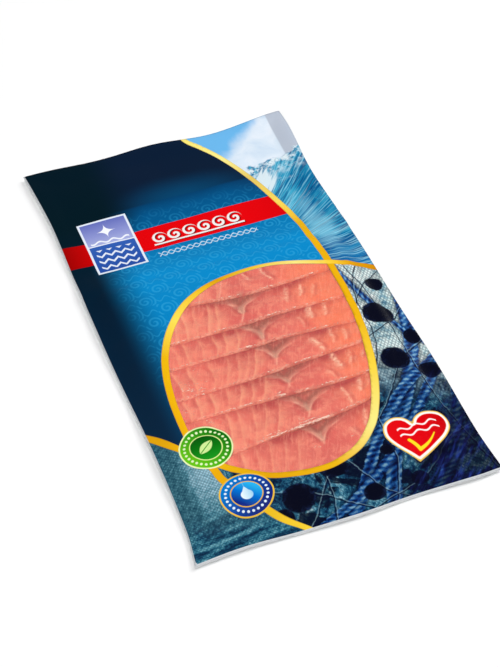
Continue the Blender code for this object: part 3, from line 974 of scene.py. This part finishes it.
def slice_pattern(i, x, y):
    """The flesh's markings, with painted light and shade, over one slice, each from 0 to 1."""
    near = near_edge(i, x)
    above = near_edge(i - 1, x) if i else np.full_like(x, 24)
    depth = above - near
    t = (y - near) / depth
    marks = {name: np.zeros_like(x) for name in ("seam", "dark", "rim", "flake", "core", "under", "rosy")}
    if VEES[i]:
        add_vee(i, x, y, marks)
    else:
        # the first slice shows one pale wedge at its edge, and two long thin lines
        wedge = 0.4 + 0.9 * (y - near).clip(0)
        marks["core"] = 0.6 * bell((x - 1) / wedge) * ease((9.5 - y) / 3)
        for (x0, y0), (x1, y1) in (((-9, 8), (-4.6, 18)), ((9, 13), (6.6, 16.5))):
            line = mix(x0, x1, (y - y0) / (y1 - y0)) + 0.25 * ripple(x, y, 3, 49)
            along = ease((y - y0 + 1) / 2) * ease((y1 + 1 - y) / 2)
            marks["rim"] = np.maximum(marks["rim"], 0.6 * bell((x - line) / 0.4) * along)

    # leaning pale seams on the left: sharp to their left, soft to their right, with painted shade just to
    # their left and painted light on the lobes beside them
    draw = np.random.default_rng(90 + i)
    nearest_seam, shade, lobe_light = np.full_like(x, 9), np.zeros_like(x), np.zeros_like(x)
    for at in LEFT_SEAMS[i]:
        bow, twist, vigour = draw.uniform(0.2, 1.5), draw.uniform(-0.6, 0.6), draw.uniform(0.45, 1)
        lean = LEANS[i][0] + LEANS[i][1] * (at + 36) + draw.uniform(-0.5, 0.5)
        line = at + lean * (t - 0.5) + bow * np.sin(math.pi * t) + twist * np.sin(2 * math.pi * t)
        gap = (x - line - 0.2 * ripple(x, y, 3.5, 60 + i)) * depth / np.hypot(depth, lean)
        nearest_seam = np.minimum(nearest_seam, np.abs(gap))
        spread = 0.8 + draw.uniform(0.6, 3) * np.sin(math.pi * np.clip(0.15 + 0.8 * t, 0, 1)) ** 2
        wedge = np.where(gap > 0, bell(gap / spread), bell(gap / 0.45))
        line_glow = 0.5 * bell(gap / 0.4)
        wedge = 0.8 * wedge * (1 + 0.3 * ripple(x, y, 2.6, 64 + i))
        marks["seam"] = np.maximum(marks["seam"], vigour * (wedge + line_glow))
        # painted shade just left of each seam
        shade = np.maximum(shade, 0.5 * vigour * bell((gap + 1.5) / 1.3) * ease(t + 0.1))
        # painted light on each lobe, a little right of its seam and towards the slice's edge
        lobe_light = np.maximum(lobe_light, bell((gap - 3.6) / 1.8) * (1 - t))
    marks["seam"] = (marks["seam"] * (1 - 0.8 * marks["dark"]) * ease((1.1 - t) / 0.3)).clip(0, 1)
    marks["lobe_light"] = lobe_light
    # pale flakes on the right, with painted shade just right of each
    for number, x0, y0, x1, y1, half, strength in FLAKES:
        if number != i:
            continue
        share = (y0 - y) / (y0 - y1)
        line = mix(x0, x1, share) + draw.uniform(0.2, 0.9) * np.sin(math.pi * share)
        gap = x - (line + 0.3 * ripple(x, y, 2, 70 + i))
        belly = np.sin(math.pi * np.clip(share, 0, 1)) ** 0.7
        left = 0.3 + half * (0.35 + 0.65 * belly) * (1 + 0.3 * ripple(x, y, 1.7, 71 + i))
        body = np.where(gap > 0, bell(gap / (0.35 + 0.3 * half)), bell(gap / left))
        along = ease(share / 0.2 + 0.3) * ease((1 - share) / 0.25 + 0.3)
        marks["flake"] = np.maximum(marks["flake"], strength * body * along)
        # painted shade just right of each flake
        shade = np.maximum(shade, 0.4 * bell((gap - 1.6) / 1.1) * along)

    # a speckled line along each slice's own edge: painted glints of the film pressed there
    marks["edge"] = bell((y - near - 0.5) / 0.6) * ease(0.6 + 0.5 * ripple(x, y, 5, 77 + i))
    if i:
        # painted shade under the edge of the slice above: deep in the middle, thin at the sides, deeper at
        # two places
        broken = 0.8 + 0.3 * ripple(x, y, 9, 75 + i)
        central = np.exp(-np.abs((x - 5) / 31) ** 4)
        below = np.maximum(above - y, 0)
        marks["under"] = (central * bell(below / 4.6) + 0.45 * (1 - central) * bell(below / 2.4)) * broken
        sides = 0.5 * bell((x + 11) / 9) + 0.4 * bell((x - 27) / 8)
        marks["under"] += sides * bell(below / 5.5)
        marks["seam"] *= 1 - 0.6 * marks["under"].clip(0, 1)
    # painted shade beside the seams and flakes joins it
    marks["under"] = np.maximum(marks["under"], shade * ease((y - near) / 2)).clip(0, 1)
    marks["warm"] = ease((x - 14) / 22)
    marks["deep"] = bell((x + 1) / 19)
    grooves = bell(nearest_seam / 1.3)
    relief = LOBE * (1 - 1.5 * grooves) - 0.1 * marks["dark"] + 0.05 * ripple(x, y, 1.6, 80 + i)
    marks["relief"] = relief * ease((y - near) / 2)
    return marks


def slice_solid(i):
    x, y = slice_grid(i)
    marks = slice_pattern(i, x, y)
    thick = slice_thickness(i, x, y, END_REACH)
    from_near = y - near_edge(i, x)
    rest = ramp(1 + (far_edge(i + 1, x) - y) / SETTLE) if i < SLICES - 1 else np.zeros_like(x)
    # the flesh swells up to the film, and its edge sinks onto the slice below
    low = slice_bottom(i, x, y, END_REACH)
    high = low + thick + SWELL * ease(from_near / 1.5)
    low += SWELL * rest - SINK * (1 - ease(from_near / 3)) * (rest > 0)
    rim = bump(window_depth(x, y) / (RIM_BAND + 1))
    held = film_height(x, y) - CLEAR_SHEET - mix(CLOSE[0], CLOSE[1], rim)
    above = near_edge(i - 1, x) if i else FIRST_FAR_EDGE
    free = ease((above - y - 0.05) / 0.6) * ease(from_near / 2)
    filled = mix(mix(*SQUEEZE, ease((np.abs(x - 3) - 16) / 14)), 1, rim)
    high += filled * np.maximum(held - high, 0) * free + marks.pop("relief") * (1 - 0.8 * rim)
    high = np.minimum(high, held + 0.12 * (1 - rim))
    from_edge = np.minimum.reduce((from_near, far_edge(i, x) - y, SLICE_HALF - np.abs(x - SLICE_X)))
    roundness = mix(EDGE_LEFT, 1, np.sqrt(1 - (1 - ramp(from_edge / EDGE_ROUND)) ** 2))
    middle = mix(low, high, EDGE_LEVEL)
    top, bottom = mix(middle, high, roundness), mix(middle, low, roundness)
    number, cells = cells_of(x.shape)
    front = np.stack(cells, -1).reshape(-1, 4)
    rim = rim_of(number)
    plan = np.column_stack((x.ravel(), y.ravel()))
    corners, faces = shell(plan, top.ravel(), bottom.ravel(), front, rim, np.roll(rim, -1))
    piece = add_mesh(f"salmon_{i + 1}", corners, faces, [f"slice_{i + 1}"])
    for name, values in marks.items():
        give(piece, name, np.tile(values.ravel(), 2))
    give_plan_map(piece, plan.min(0) - MAP_MARGIN, plan.max(0) + MAP_MARGIN, len(front), 0.75)
    return piece


slices = [slice_solid(i) for i in range(SLICES)]


# ---- the print ----
def band(paint_value, low, high, soft=0.12):
    """1 where the value is between two bounds."""
    return paint_value.rise(low - soft, low + soft) * (1 - paint_value.rise(high - soft, high + soft))


def panel_colour(p):
    """The blue panel: bright low down, a dark horizon above, near black on the left."""
    low = p.blend(p.y, (-90, 0x04568c, -40, 0x086ca2, 0, 0x0680be, 34, 0x088aca,
                        46, 0x0780bd, 60, 0x046ca5, 72, 0x015a8e, 80, 0x025488,
                        88, 0x023e6a))
    side = (p.x.abs() - 2).rise(18, 44) * p.y.rise(66, 88)
    low = p.mix(low, 0x0c2848, side * 0.6)
    glow = 1 - (p.x / 40).length((p.y - 87) / 16).rise(0, 1.2)
    high = p.mix(0x091c34, 0x04426a, glow)
    colour = p.mix(low, high, p.y.rise(87.2, 89))
    edge = -53.5 + 17 * p.y.rise(50, 86)
    dark = (edge + 17.5 - p.x).rise(0, 24)
    return p.mix(colour, p.blend(p.y, (-60, 0x092640, 20, 0x031e34, 84, 0x001822, 120, 0x021824)), dark)


def spiral(u, v, pitch):
    """Distance from a point, and from the middle of the spiral line round it."""
    radius = u.length(v)
    return radius, ((radius / pitch + v.turn(u)).fract() - 0.5).abs() * pitch


def scrolls(p):
    """A common scroll ornament: rows of spirals, each joined to the next by a wave."""
    pitch, high = 17.2, 7
    row = (p.y / high).floor()
    u = ((p.x / pitch + row * 0.5).fract() - 0.5) * pitch
    v = p.y.wrap(high)
    radius, from_line = spiral(u, v, 2.3)
    line = (0.5 - from_line).inside(0.25) * (3.45 - radius).inside(0.3) * (radius - 0.5).inside(0.3)
    # an arc hugs each spiral, and a short wave runs on to the next one
    arc = (radius - 4.9).line(0.42, 0.25) * (v + u * 0.6 + 0.6).inside(0.6)
    low_arc = (radius - 4.5).line(0.38, 0.25) * (v * -1 - u * 0.2 - 1.8).inside(0.5)
    beyond = u.abs() - pitch / 2
    swing = (beyond * (2 * math.pi / 6.4)).sin() * 1.3 * (u / u.abs().high(0.01))
    wave = (v - swing + 0.5).line(0.42, 0.25) * (u.abs() - 5.1).inside(0.4)
    return line.high(arc).high(low_arc).high(wave)


def sea_colour(p):
    """A plain seascape: sky, soft cloud, and water with slanting streaks."""
    cloud = p.noise(16, 4, distortion=0.6)
    white = p.blend(cloud, (0.3, 0xbed4ea, 0.5, 0xd6e4f2, 0.7, 0xe8eff8))
    sky = ((p.y - 104) * 0.72 - (p.x - 29) * 0.69 + (cloud - 0.5) * 16).rise(-4, 5)
    air = p.mix(white, 0x6ab4e8, sky)
    # a grey strip along the right edge of the sky: painted shade where the curled corner's seal margin bends
    # away
    air = p.mix(air, 0xb2bac9, p.x.rise(60.8, 61.8) * 0.88)
    # the water's grain fans out from a point far to the left
    u, v = p.x + 6, p.y - 10
    away, turn = u.length(v), v.math("ARCTAN2", u)
    grain = p.grain(away / 34, turn * 44, rough=0.6)
    fine = p.grain(away / 22, turn * 95, 4, 2)
    broad = p.grain(away / 40, turn * 7, 2, 2)
    water = p.blend(broad * 0.6 + grain * 0.4, (0.36, 0x08588c, 0.46, 0x147eaa, 0.54, 0x42a8ca,
                                                0.64, 0x86cae2))
    water = p.mix(
        water,
        0x105aa4, (1 - p.y.rise(12, 34)) * 0.6,
        0x043a74, grain.rise(0.52, 0.6) * 0.8,
        0x96d4e8, fine.rise(0.54, 0.64) * 0.6,
        0x064682, fine.rise(0.46, 0.38) * 0.5)
    bright = 1 - ((p.x - 56) / 9).length((p.y - 40) / 30) + (grain - 0.5) * 2
    water = p.mix(water, 0x8ccee6, bright.rise(0, 0.7) * 0.5)
    foam = p.grain(u / 5, v / 4, 3, 5, rough=0.7)
    line = (p.x - 36) * 0.2 + 93.5 + (p.noise(7, 4) - 0.5) * 16
    crest = (line - p.y).rise(-2, 20)
    spray = foam.rise(0.44, 0.6) * (1 - crest) + foam.rise(0.58, 0.7) * 0.5 * (1 - crest * 0.8)
    patch = 1 - ((p.x - 42 - (p.y - 80) * 0.45) / 8).length((p.y - 81) / 10) + (grain - 0.5) * 2.4
    spray = spray.high(patch.rise(-0.1, 0.35) * 0.9)
    water = p.mix(water, 0xdeecf2, spray.low(1))
    return p.mix(air, water, (line - p.y).rise(-1, 1))


def mesh_lines(p, pitch, tilt=0.7):
    """The threads of a fine slanting net: 1 on a thread."""
    a = ((p.x + p.y * tilt) / pitch).fract() - 0.5
    b = ((p.x - p.y * tilt) / pitch).fract() - 0.5
    return 1 - a.abs().low(b.abs()).rise(0.06, 0.26)


# rounded dark floats on the netting: x, y, half width, half height
FLOATS = (
    (64.5, -7, 4.6, 4.2), (57.6, -27.5, 7.6, 7), (67.5, -43.5, 4, 5), (52.5, -57, 6.6, 7),
    (66, -66, 5.4, 4.6), (-18.5, -113, 7.6, 6), (-27.5, -119.5, 4.6, 4), (2, -106, 6.6, 3.4),
    (14.5, -120.5, 5, 3.8), (27, -104, 3.6, 3), (36, -120, 4.2, 3.4),
)
# bands of gathered netting: start, end, half width, sideways bow
BANDS = (
    ((74, -14), (44, -84), 3.4, 5), ((74, -58), (16, -110), 2.6, -5),
    ((60, -76), (-10, -128), 2.2, 6), ((50, 2), (74, -52), 1.7, -3),
    ((74, -78), (40, -130), 3, 4),
)
CORDS = (
    ((50, -18), (74, 4), 2), ((48, -40), (74, -20), -2.5), ((46, -70), (74, -46), 3),
    ((30, -96), (20, -130), 3), ((-30, -108), (10, -128), 3), ((8, -104), (28, -128), -2),
    ((54, 8), (60, -50), 2), ((-4, -104), (-8, -130), 2), ((50, -112), (74, -100), 2),
)


def course(p, start, end):
    """A line's reach across, up and in all, and the place from its start."""
    dx, dy = end[0] - start[0], end[1] - start[1]
    return dx, dy, math.hypot(dx, dy), p.x - start[0], p.y - start[1]


def strip(p, start, end, bow):
    """Place across and along a bowed strip: across from its middle line, along in millimetres."""
    dx, dy, size, u, v = course(p, start, end)
    along = (u * dx + v * dy) / size
    across = (v * dx - u * dy) / size - (along * (math.pi / size)).sin() * bow
    return across, along


def net_colour(p):
    """Plain netting: pale cloth, gathered blue bands, cords and dark rounded floats."""
    broad = p.noise(17, 3, distortion=0.9)
    fine = p.noise(3.2, 5, distortion=0.8, rough=0.7)
    down = (p.y + p.x * 0.35).rise(-28, -66)
    pale = p.blend(fine * 0.55 + broad * 0.45, (0.36, 0x548aa6, 0.44, 0x9cc2cc, 0.51, 0xcee2e0,
                                                0.62, 0xeef4f0))
    deep = p.blend(fine * 0.6 + broad * 0.4, (0.38, 0x040a1e, 0.46, 0x0a2242, 0.51, 0x1a5470,
                                              0.57, 0x5492a8, 0.66, 0xb0d4da))
    colour = p.mix(pale, deep, down)
    threads = mesh_lines(p, 1.9)
    colour = p.mix(colour, 0x143e5c, threads * 0.56)
    shadow = p.noise(15, 4, p.at(p.x, p.y, 31), distortion=1.2)
    colour = p.mix(colour, 0x050a22, shadow.rise(0.50, 0.57) * (0.3 + down * 0.65))
    for start, end, half, bow in BANDS:
        across, along = strip(p, start, end, bow)
        edge = half - across.abs() + (fine - 0.5) * 2.6
        strands = (across / half * 4 + along * 0.15).sin() * 0.28
        twist = (along * 1.9 + across * 1.6).sin() * 0.22 + strands + 0.5
        tone = p.blend(twist + (fine - 0.5) * 1.6, (0, 0x040e34, 0.35, 0x0c3478, 0.7, 0x2868aa,
                                                    1.1, 0x8cbcd6))
        colour = p.mix(
            colour,
            0x050c28, (edge + 0.9).inside(0.8) * 0.6,
            tone, edge.inside(0.35) * (0.92 - down * 0.25))
    for start, end, bow in CORDS:
        across, along = strip(p, start, end, bow)
        across = across + (p.noise(4, 2) - 0.5) * 2
        colour = p.mix(
            colour,
            0x080e2c, across.line(0.34, 0.15) * 0.85,
            0x96bece, (across - 0.6).line(0.2, 0.15) * 0.3)
    dark = None
    for x, y, half_w, half_h in FLOATS:
        wobble = (broad - 0.5) * 0.5 + (fine - 0.5) * 0.3
        ball = 1 - ((p.x - x) / half_w).length((p.y - y) / half_h) + wobble
        dark = ball if dark is None else dark.high(ball)
    sheen = (fine - 0.45).rise(0, 0.3) * dark.rise(0.5, 0.05)
    colour = p.mix(colour, p.mix(0x06081a, 0x1e3260, sheen * 0.6), dark.inside(0.07))
    corner = (p.x * 0.9 - p.y * 0.8 - 118 + (broad - 0.5) * 34).rise(-6, 22)
    glint = p.blend(p.grain((p.x - p.y) / 3, (p.x + p.y) / 16, 9),
                    (0.45, 0x080920, 0.58, 0x101446, 0.7, 0x223482))
    return p.mix(colour, glint, corner * 0.9)


def cloth_colour(p):
    """The lower left field: a finer net, teal to pale blue, dark at the bottom."""
    fold = p.grain(p.x / 9, p.y / 40, distortion=0.5)
    fine = p.noise(1.6, 4, rough=0.7)
    pale = 1 - ((p.x + 51) / 12).length((p.y + 88) / 26).rise(0.1, 1.3)
    shade = fold * 0.42 + pale * 0.42 + (fine - 0.5) * 1.1
    colour = p.blend(shade, (0, 0x183e54, 0.2, 0x326474, 0.42, 0x568e9e, 0.7, 0x9ec6d6))
    sweep = p.grain((p.x + p.y * 0.2) / 22, (p.y - p.x * 0.12) / 3.2, 2) * 0.6 + fine * 0.4
    low = p.blend(sweep, (0.38, 0x06122e, 0.46, 0x123a58, 0.53, 0x32748a, 0.62, 0x70acba))
    return p.mix(
        colour,
        low, (-112 - p.y + (fold - 0.5) * 20).rise(-9, 9),
        0x12364e, mesh_lines(p, 1.7, 1) * 0.5)


def gold_colour(p, share, depth, stops):
    colour = p.blend(share, [part for at, _, tone in stops for part in (at, tone)])
    return p.mix(colour, 0x965c04, (1 - depth.rise(0, 0.55)) * 0.35)


def round_field(p, x, y, squash=1):
    """Distance from a point of the print, and the turn round it from 0 to 1."""
    u, v = p.x - x, (p.y - y) / squash
    return u, v, u.length(v), v.turn(u) + 0.5


def badge(p, colour, radius, r, turn, dots, rims, core_edge, ring, core, *motif):
    """A rimmed disc: a dotted ring round a core with a motif."""
    dots_at, count, dot_colour = dots
    along = ((turn * count).fract() - 0.5) * (2 * math.pi * dots_at / count)
    disc = p.mix(ring, dot_colour, (0.62 - along.length(r - dots_at)).inside(),
                 rims[1], (core_edge + 0.5 - r).inside(), core, (core_edge - r).inside(), *motif)
    return p.mix(colour, rims[0], (radius - r).inside(), disc, (radius - 0.7 - r).inside())


def badges(p, colour):
    # blue, with a drop of water
    u, v, r, turn = round_field(p, *BLUE[:2], BLUE_SQUASH)
    ring = p.blend(v * -1 + u, (-14, 0x0678c8, 0, 0x0a46a0, 14, 0x142478))
    core = p.blend(u + v, (-8, 0x102882, 0, 0x006ecd, 8, 0x28afeb))
    low = v + 0.6
    drop = (2.7 * (1 - low.rise(0, 5, "LINEAR")) - u.abs()).inside(0.2) * low.inside(0.1)
    drop = drop.high((2.7 - u.length(low)).inside(0.2))
    colour = badge(p, colour, BLUE[2], r, turn, (9.3, 26, 0xe2f0fa), (0xeebe3c, 0xe4b23c), 6.8, ring, core,
                   p.blend(u, (-3, 0xf0faff, 3, 0x96cdeb)), drop)
    # green, with a leaf
    u, v, r, turn = round_field(p, *GREEN[:2])
    ring = p.blend(u + v * 0.6, (-12, 0x68c416, 0, 0x3ca014, 12, 0x0c6e0e))
    core = p.blend(v, (-7, 0x18961e, 0, 0x0a7410, 7, 0x06540a))
    along, across = u * 0.77 + v * 0.64, v * 0.77 - u * 0.64
    leaf = (1 - along * along / 23) * 2.3 - across.abs()
    leaf_colour = p.mix(0xceec96, 0x3c9628, across.line(0.22, 0.1))
    return badge(p, colour, GREEN[2], r, turn, (9.5, 28, 0xe2f6be), (0xecf6b4, 0xdef096), 6.9, ring, core,
                 leaf_colour, leaf.inside(0.2) * (5.6 - r).inside())


def plaque(p, colour):
    """A bordered plate of two fields with plain shapes."""
    middle_x, middle_y, half_w, half_h = -43.65, 66.95, 12.75, 18.85
    u, v = p.x - middle_x, p.y - middle_y
    depth = (half_w - u.abs()).low(half_h - v.abs())
    upper = p.blend(v, (0, 0xa8b0de, 8, 0x8c94d0, 18, 0x626cb8))
    star = 4.6 - (u.abs().sqrt() + (v - 10.4).abs().sqrt()) * 2
    upper = p.mix(upper, 0xf4f7fc, star.inside(0.2))
    swell = v - 3.2 - (u * 0.9).sin() * 0.8
    upper = p.mix(upper, 0xeef2fa, swell.line(0.55, 0.2) * u.line(10))
    lower = p.blend(v, (-18, 0x244ca0, 0, 0x305cb0))
    zig = v.wrap(4.2) - (((u / 5).fract() - 0.5).abs() - 0.25) * 4.2
    lower = p.mix(lower, 0xe2eaf6, zig.line(0.62, 0.2) * u.line(9.6) * band(v, -16.2, -2.4))
    plate = p.mix(lower, upper, (v - 1).inside())
    plate = p.mix(plate, 0xe8eef8, (v - 1).line(0.35, 0.15))
    return p.mix(
        colour,
        0xe2eaf6, depth.inside(),
        plate, (depth - 1.1).inside())


def heart(p, colour):
    depth = p.read("heart")
    red = p.blend(p.x, (28, 0xe40e16, 46, 0xde000c, 58, 0xc40008))
    down = stroke(p, (38.2, -102.8), (41, -108.6), 0.75, 0.85, 0.3)
    up = stroke(p, (41, -108.6), (50.4, -102.6), 0.85, 0.25, -0.9)
    red = p.mix(red, 0xfade24, down.high(up))
    for level in (-97, -100.6):
        wave = p.y - level - p.x * 0.02 - ((p.x - 35) * 0.85).sin() * 0.8
        red = p.mix(red, 0xfcecec, wave.line(0.45, 0.2) * band(p.x, 35.4, 54.2))
    return p.mix(
        colour,
        0xf0c454, depth.inside(),
        0xfcf6ee, (depth - 0.55).inside(0.2),
        red, (depth - 1.65).inside(0.2))


def stroke(p, start, end, wide, narrow, bow):
    """A bowed brush stroke whose half width goes from one value to the other."""
    dx, dy, size, u, v = course(p, start, end)
    share = ((u * dx + v * dy) / size ** 2).high(0).low(1)
    side_u, side_v = u - share * dx, v - share * dy
    curve = (share * math.pi).sin() * bow
    from_line = (side_u + curve * (dy / size)).length(side_v - curve * (dx / size))
    return (share * (narrow - wide) + wide - from_line).inside(0.2)


def title_band(p, colour):
    """The red band, with a running wave for ornament, and a thin wave below it."""
    red = p.blend(p.x, (-70, 0x960000, -58, 0xbc0002, -50, 0xde0006, 20, 0xe4020a, 50, 0xd60008))
    u = (p.x + 24).wrap(7.9)
    for dx, dy, tone in ((0.55, -0.5, 0x6e0000), (0, 0, 0xf0eeec)):
        w, v = u - dx, p.y - 63 - dy
        r, curl = spiral(w, v, 3.1)
        shape = (0.7 - curl).inside(0.2) * (3.85 - r).inside(0.2)
        shape = shape.high((v + 4.1).line(0.5, 0.15))
        red = p.mix(red, tone, shape * band(p.x, -24.2 + dx, 23.4 + dx))
    colour = p.mix(colour, red, band(p.y, 55.9, 71.3, 0.15))
    swing = (p.x * 0.95).sin() * 1.5
    braid = (p.y - 51.2 - swing).abs().low((p.y - 51.2 + swing).abs())
    return p.mix(colour, 0xd6eaf6, (0.38 - braid).inside(0.2) * band(p.x, -24.5, 27.2) * 0.8)


def paint_print():
    p = Paint("printed_film")
    upper, lower = p.read("upper_side"), p.read("lower_side")
    colour = panel_colour(p)
    ornament = scrolls(p) * p.x.rise(-56, -38) * (1 - p.y.rise(60, 88))
    colour = p.mix(colour, 0x30a6da, ornament * 0.42)
    colour = title_band(p, colour)
    outer, right = lower.inside(), p.x.rise(-0.5, 0.5)
    colour = p.mix(
        colour,
        cloth_colour(p), outer * (1 - right),
        sea_colour(p), outer * right,
        net_colour(p), outer * (upper * -1).inside())
    colour = plaque(p, colour)
    depth = p.read("lower_gold") + (lower * -1).inside() * 0.3
    colour = p.mix(colour, gold_colour(p, p.read("lower_share"), depth, lower_curve.stops), depth.inside())
    depth = p.read("upper_gold") + (upper * -1).inside() * 0.3
    colour = p.mix(colour, gold_colour(p, p.read("upper_share"), depth, upper_curve.stops), depth.inside())
    colour = heart(p, badges(p, colour))
    colour = p.mix(colour, 0xced2d6, p.read("margin").inside(0.15))
    seal = p.noise(0.9, 2)
    rough = 0.24 + (p.noise(6, 3) - 0.5) * 0.1
    p.bump(p.noise(3, 3) + seal * 0.1, 0.25, 0.12)
    return p.use(colour, rough, Specular_IOR_Level=0.14)


# ---- the other surfaces ----
def paint_back():
    p = Paint("back_film")
    tone = p.noise(30, 3)
    colour = p.blend(tone, (0.3, 0xe2e5e8, 0.7, 0xeef0f2))
    p.bump(p.noise(7, 3) + p.noise(1.2, 2) * 0.15, 0.35, 0.2)
    return p.use(colour, 0.36 + (tone - 0.5) * 0.15, Specular_IOR_Level=0.35)


def paint_salmon():
    p = Paint("salmon_flesh")
    names = ("seam", "lobe_light", "dark", "rosy", "rim", "flake", "core", "under", "edge", "warm", "deep")
    marks = {name: p.read(name) for name in names}
    broad = p.noise(11, 3)
    fine = p.grain(p.x / 1.8, p.y / 3.2, p.z / 2, distortion=0.4)
    fibre = p.grain((p.x - p.y * 0.45) / 0.9, (p.y + p.x * 0.45) / 9, 5, distortion=0.3)
    flesh = p.blend(broad, (0.3, 0xde645a, 0.5, 0xe97464, 0.7, 0xf0806c))
    mottle = p.noise(5, 3, distortion=0.6)
    flesh = p.mix(
        flesh,
        0xcc5452, marks["deep"] * (0.56 + (mottle - 0.5) * 0.8),
        0xf47c54, marks["warm"] * 0.85,
        # painted light on the lobes
        0xf79478, marks["lobe_light"] * 0.45,
        0xfa9c80, (mottle - 0.1).rise(0.42, 0.3) * (0.3 - marks["warm"] * 0.15),
        0xde524e, (mottle - 0.1).rise(0.44, 0.56) * (0.32 - marks["warm"] * 0.2),
        # painted shade under the slices' edges and beside seams and flakes, with the deep rose band round the
        # dark muscle
        0xb23438, marks["under"].high(marks["rosy"]) * (0.6 + mottle * 0.8),
        # dark muscle, darkened under the slice above by painted shade
        0x804a3e, marks["dark"] * (0.52 + fine * 0.4),
        0xf8a48c, fibre.rise(0.54, 0.66) * 0.22,
        0xd05450, fibre.rise(0.46, 0.34) * 0.22,
        0xf8a88a, fine.rise(0.46, 0.32) * 0.16,
        0xf2a080, marks["seam"] * (0.85 + (p.noise(2.5, 2) - 0.5) * 1.2),
        0xfac4a6, marks["flake"] * (0.74 + (p.noise(1.3, 3) - 0.5) * 3),
        0xc89680, marks["core"] * (0.92 + (fine - 0.5) * 0.8),
        0xf6b89e, marks["rim"] * 0.9)
    # pale specks along each slice's edge: painted glints
    glint_specks = p.grain(p.x / 1.6, p.y / 0.7, 7, distortion=0.4)
    flesh = p.mix(flesh, 0xffb098, marks["edge"] * (glint_specks - 0.36).rise(0, 0.22))
    p.bump(fine + marks["seam"] * -0.3 + p.noise(0.7, 2) * 0.3, 0.25, 0.12)
    return p.use(flesh, 0.38 + (fine - 0.5) * 0.2, Specular_IOR_Level=0.35,
                 Subsurface_Weight=0.2, Subsurface_Radius=(1, 0.35, 0.25), Subsurface_Scale=0.001)


def paint_window():
    """Clear film: see-through, with gloss that grows at a slant, and pale painted glints on its creases."""
    p = Paint("clear_film")
    crease_and_glint = p.read("crease_and_glint")
    flecks = p.grain((p.x + p.y * 0.3) / 1.7, p.y / 0.55, distortion=0.5, rough=0.62)
    clumps = p.noise(3, 2)
    # pale, nearly opaque flecks: painted glints where the creased film catches the light
    pale = (crease_and_glint * 0.42 + flecks + clumps * 0.3 - 0.97).rise(0, 0.1)
    p.bump(p.noise(2.2, 3, distortion=0.5) + crease_and_glint * flecks * 2, 0.3, 0.12)
    facing = Value(p.tree, p.node("LayerWeight", {"Blend": 0.5}).outputs["Facing"])
    solid = (facing ** 5 * 0.95 + 0.04).high(pale * 0.88)
    join = p.node("MixShader", {0: solid, 1: p.node("BsdfTransparent").outputs[0], 2: p.shader.outputs[0]})
    plug(p.tree, p.tree.nodes["Material Output"].inputs["Surface"], join.outputs[0])
    return p.use(p.mix(0xffc4ac, 0xffe2d0, flecks), 0.2 + pale * 0.2, Specular_IOR_Level=0.6)


printed.data.materials.append(paint_print())
window.data.materials.append(paint_window())
back.data.materials.append(paint_back())
salmon = paint_salmon()
for piece in slices:
    piece.data.materials.append(salmon)


# ---- floor, lights and camera ----
def paint_floor():
    p = Paint("floor_card")
    colour = p.blend(p.noise(300, 2), (0.3, 0xfafafa, 0.7, 0xfcfcfc))
    return p.use(colour, 0.8, Specular_IOR_Level=0.1)


FLOOR_DROP, FLOOR_HALF = 0.0004, 6      # metres
FLOOR_SIDES = ((-1, -1), (1, -1), (1, 1), (-1, 1))
floor_mesh = bpy.data.meshes.new("floor")
floor_corners = [(x * FLOOR_HALF, y * FLOOR_HALF, -FLOOR_DROP) for x, y in FLOOR_SIDES]
floor_mesh.from_pydata(floor_corners, [], [(0, 1, 2, 3)])
floor = put_in("floor", floor_mesh)
floor.data.materials.append(paint_floor())


def add_area(name, place, width, length, power):
    """A soft rectangular light, turned to the middle of the pack."""
    light = bpy.data.lights.new(name, "AREA")
    light.shape, light.size, light.size_y, light.energy = "RECTANGLE", width, length, power
    lamp = put_in(name, light)
    lamp.location = place
    lamp.rotation_euler = (-Vector(place)).to_track_quat("-Z", "Y").to_euler()
    return lamp


key = add_area("key", (1.5, 0.42, 1.55), 1.6, 1.6, 33.5)
overhead = add_area("overhead", (-0.22, -0.3, 2.2), 1.3, 1.2, 23)
key.visible_glossy = overhead.visible_glossy = False
add_area("fill", (-1.5, -1.5, 1.5), 1.2, 1.2, 19)

world = bpy.data.worlds.new("studio")
world.use_nodes = True
background = world.node_tree.nodes["Background"].inputs
background["Color"].default_value, background["Strength"].default_value = (1, 1, 1, 1), 0.1
bpy.context.scene.world = world
bpy.context.scene.view_settings.view_transform = "Standard"

AZIMUTH, ELEVATION, DISTANCE = math.radians(-21.3), math.radians(47.26), 0.77635
TARGET = Vector((-0.0017, -0.0128, 0))
flat = math.cos(ELEVATION)
away = Vector((math.sin(AZIMUTH) * flat, -math.cos(AZIMUTH) * flat, math.sin(ELEVATION)))
lens = bpy.data.cameras.new("camera")
lens.sensor_fit, lens.sensor_width, lens.sensor_height, lens.lens = "AUTO", 36, 36, 89.19
lens.clip_start, lens.clip_end = 0.01, 50
camera = put_in("camera", lens)
camera.location = TARGET + away * DISTANCE
camera.rotation_euler = (-away).to_track_quat("-Z", "Y").to_euler()
bpy.context.scene.camera = camera
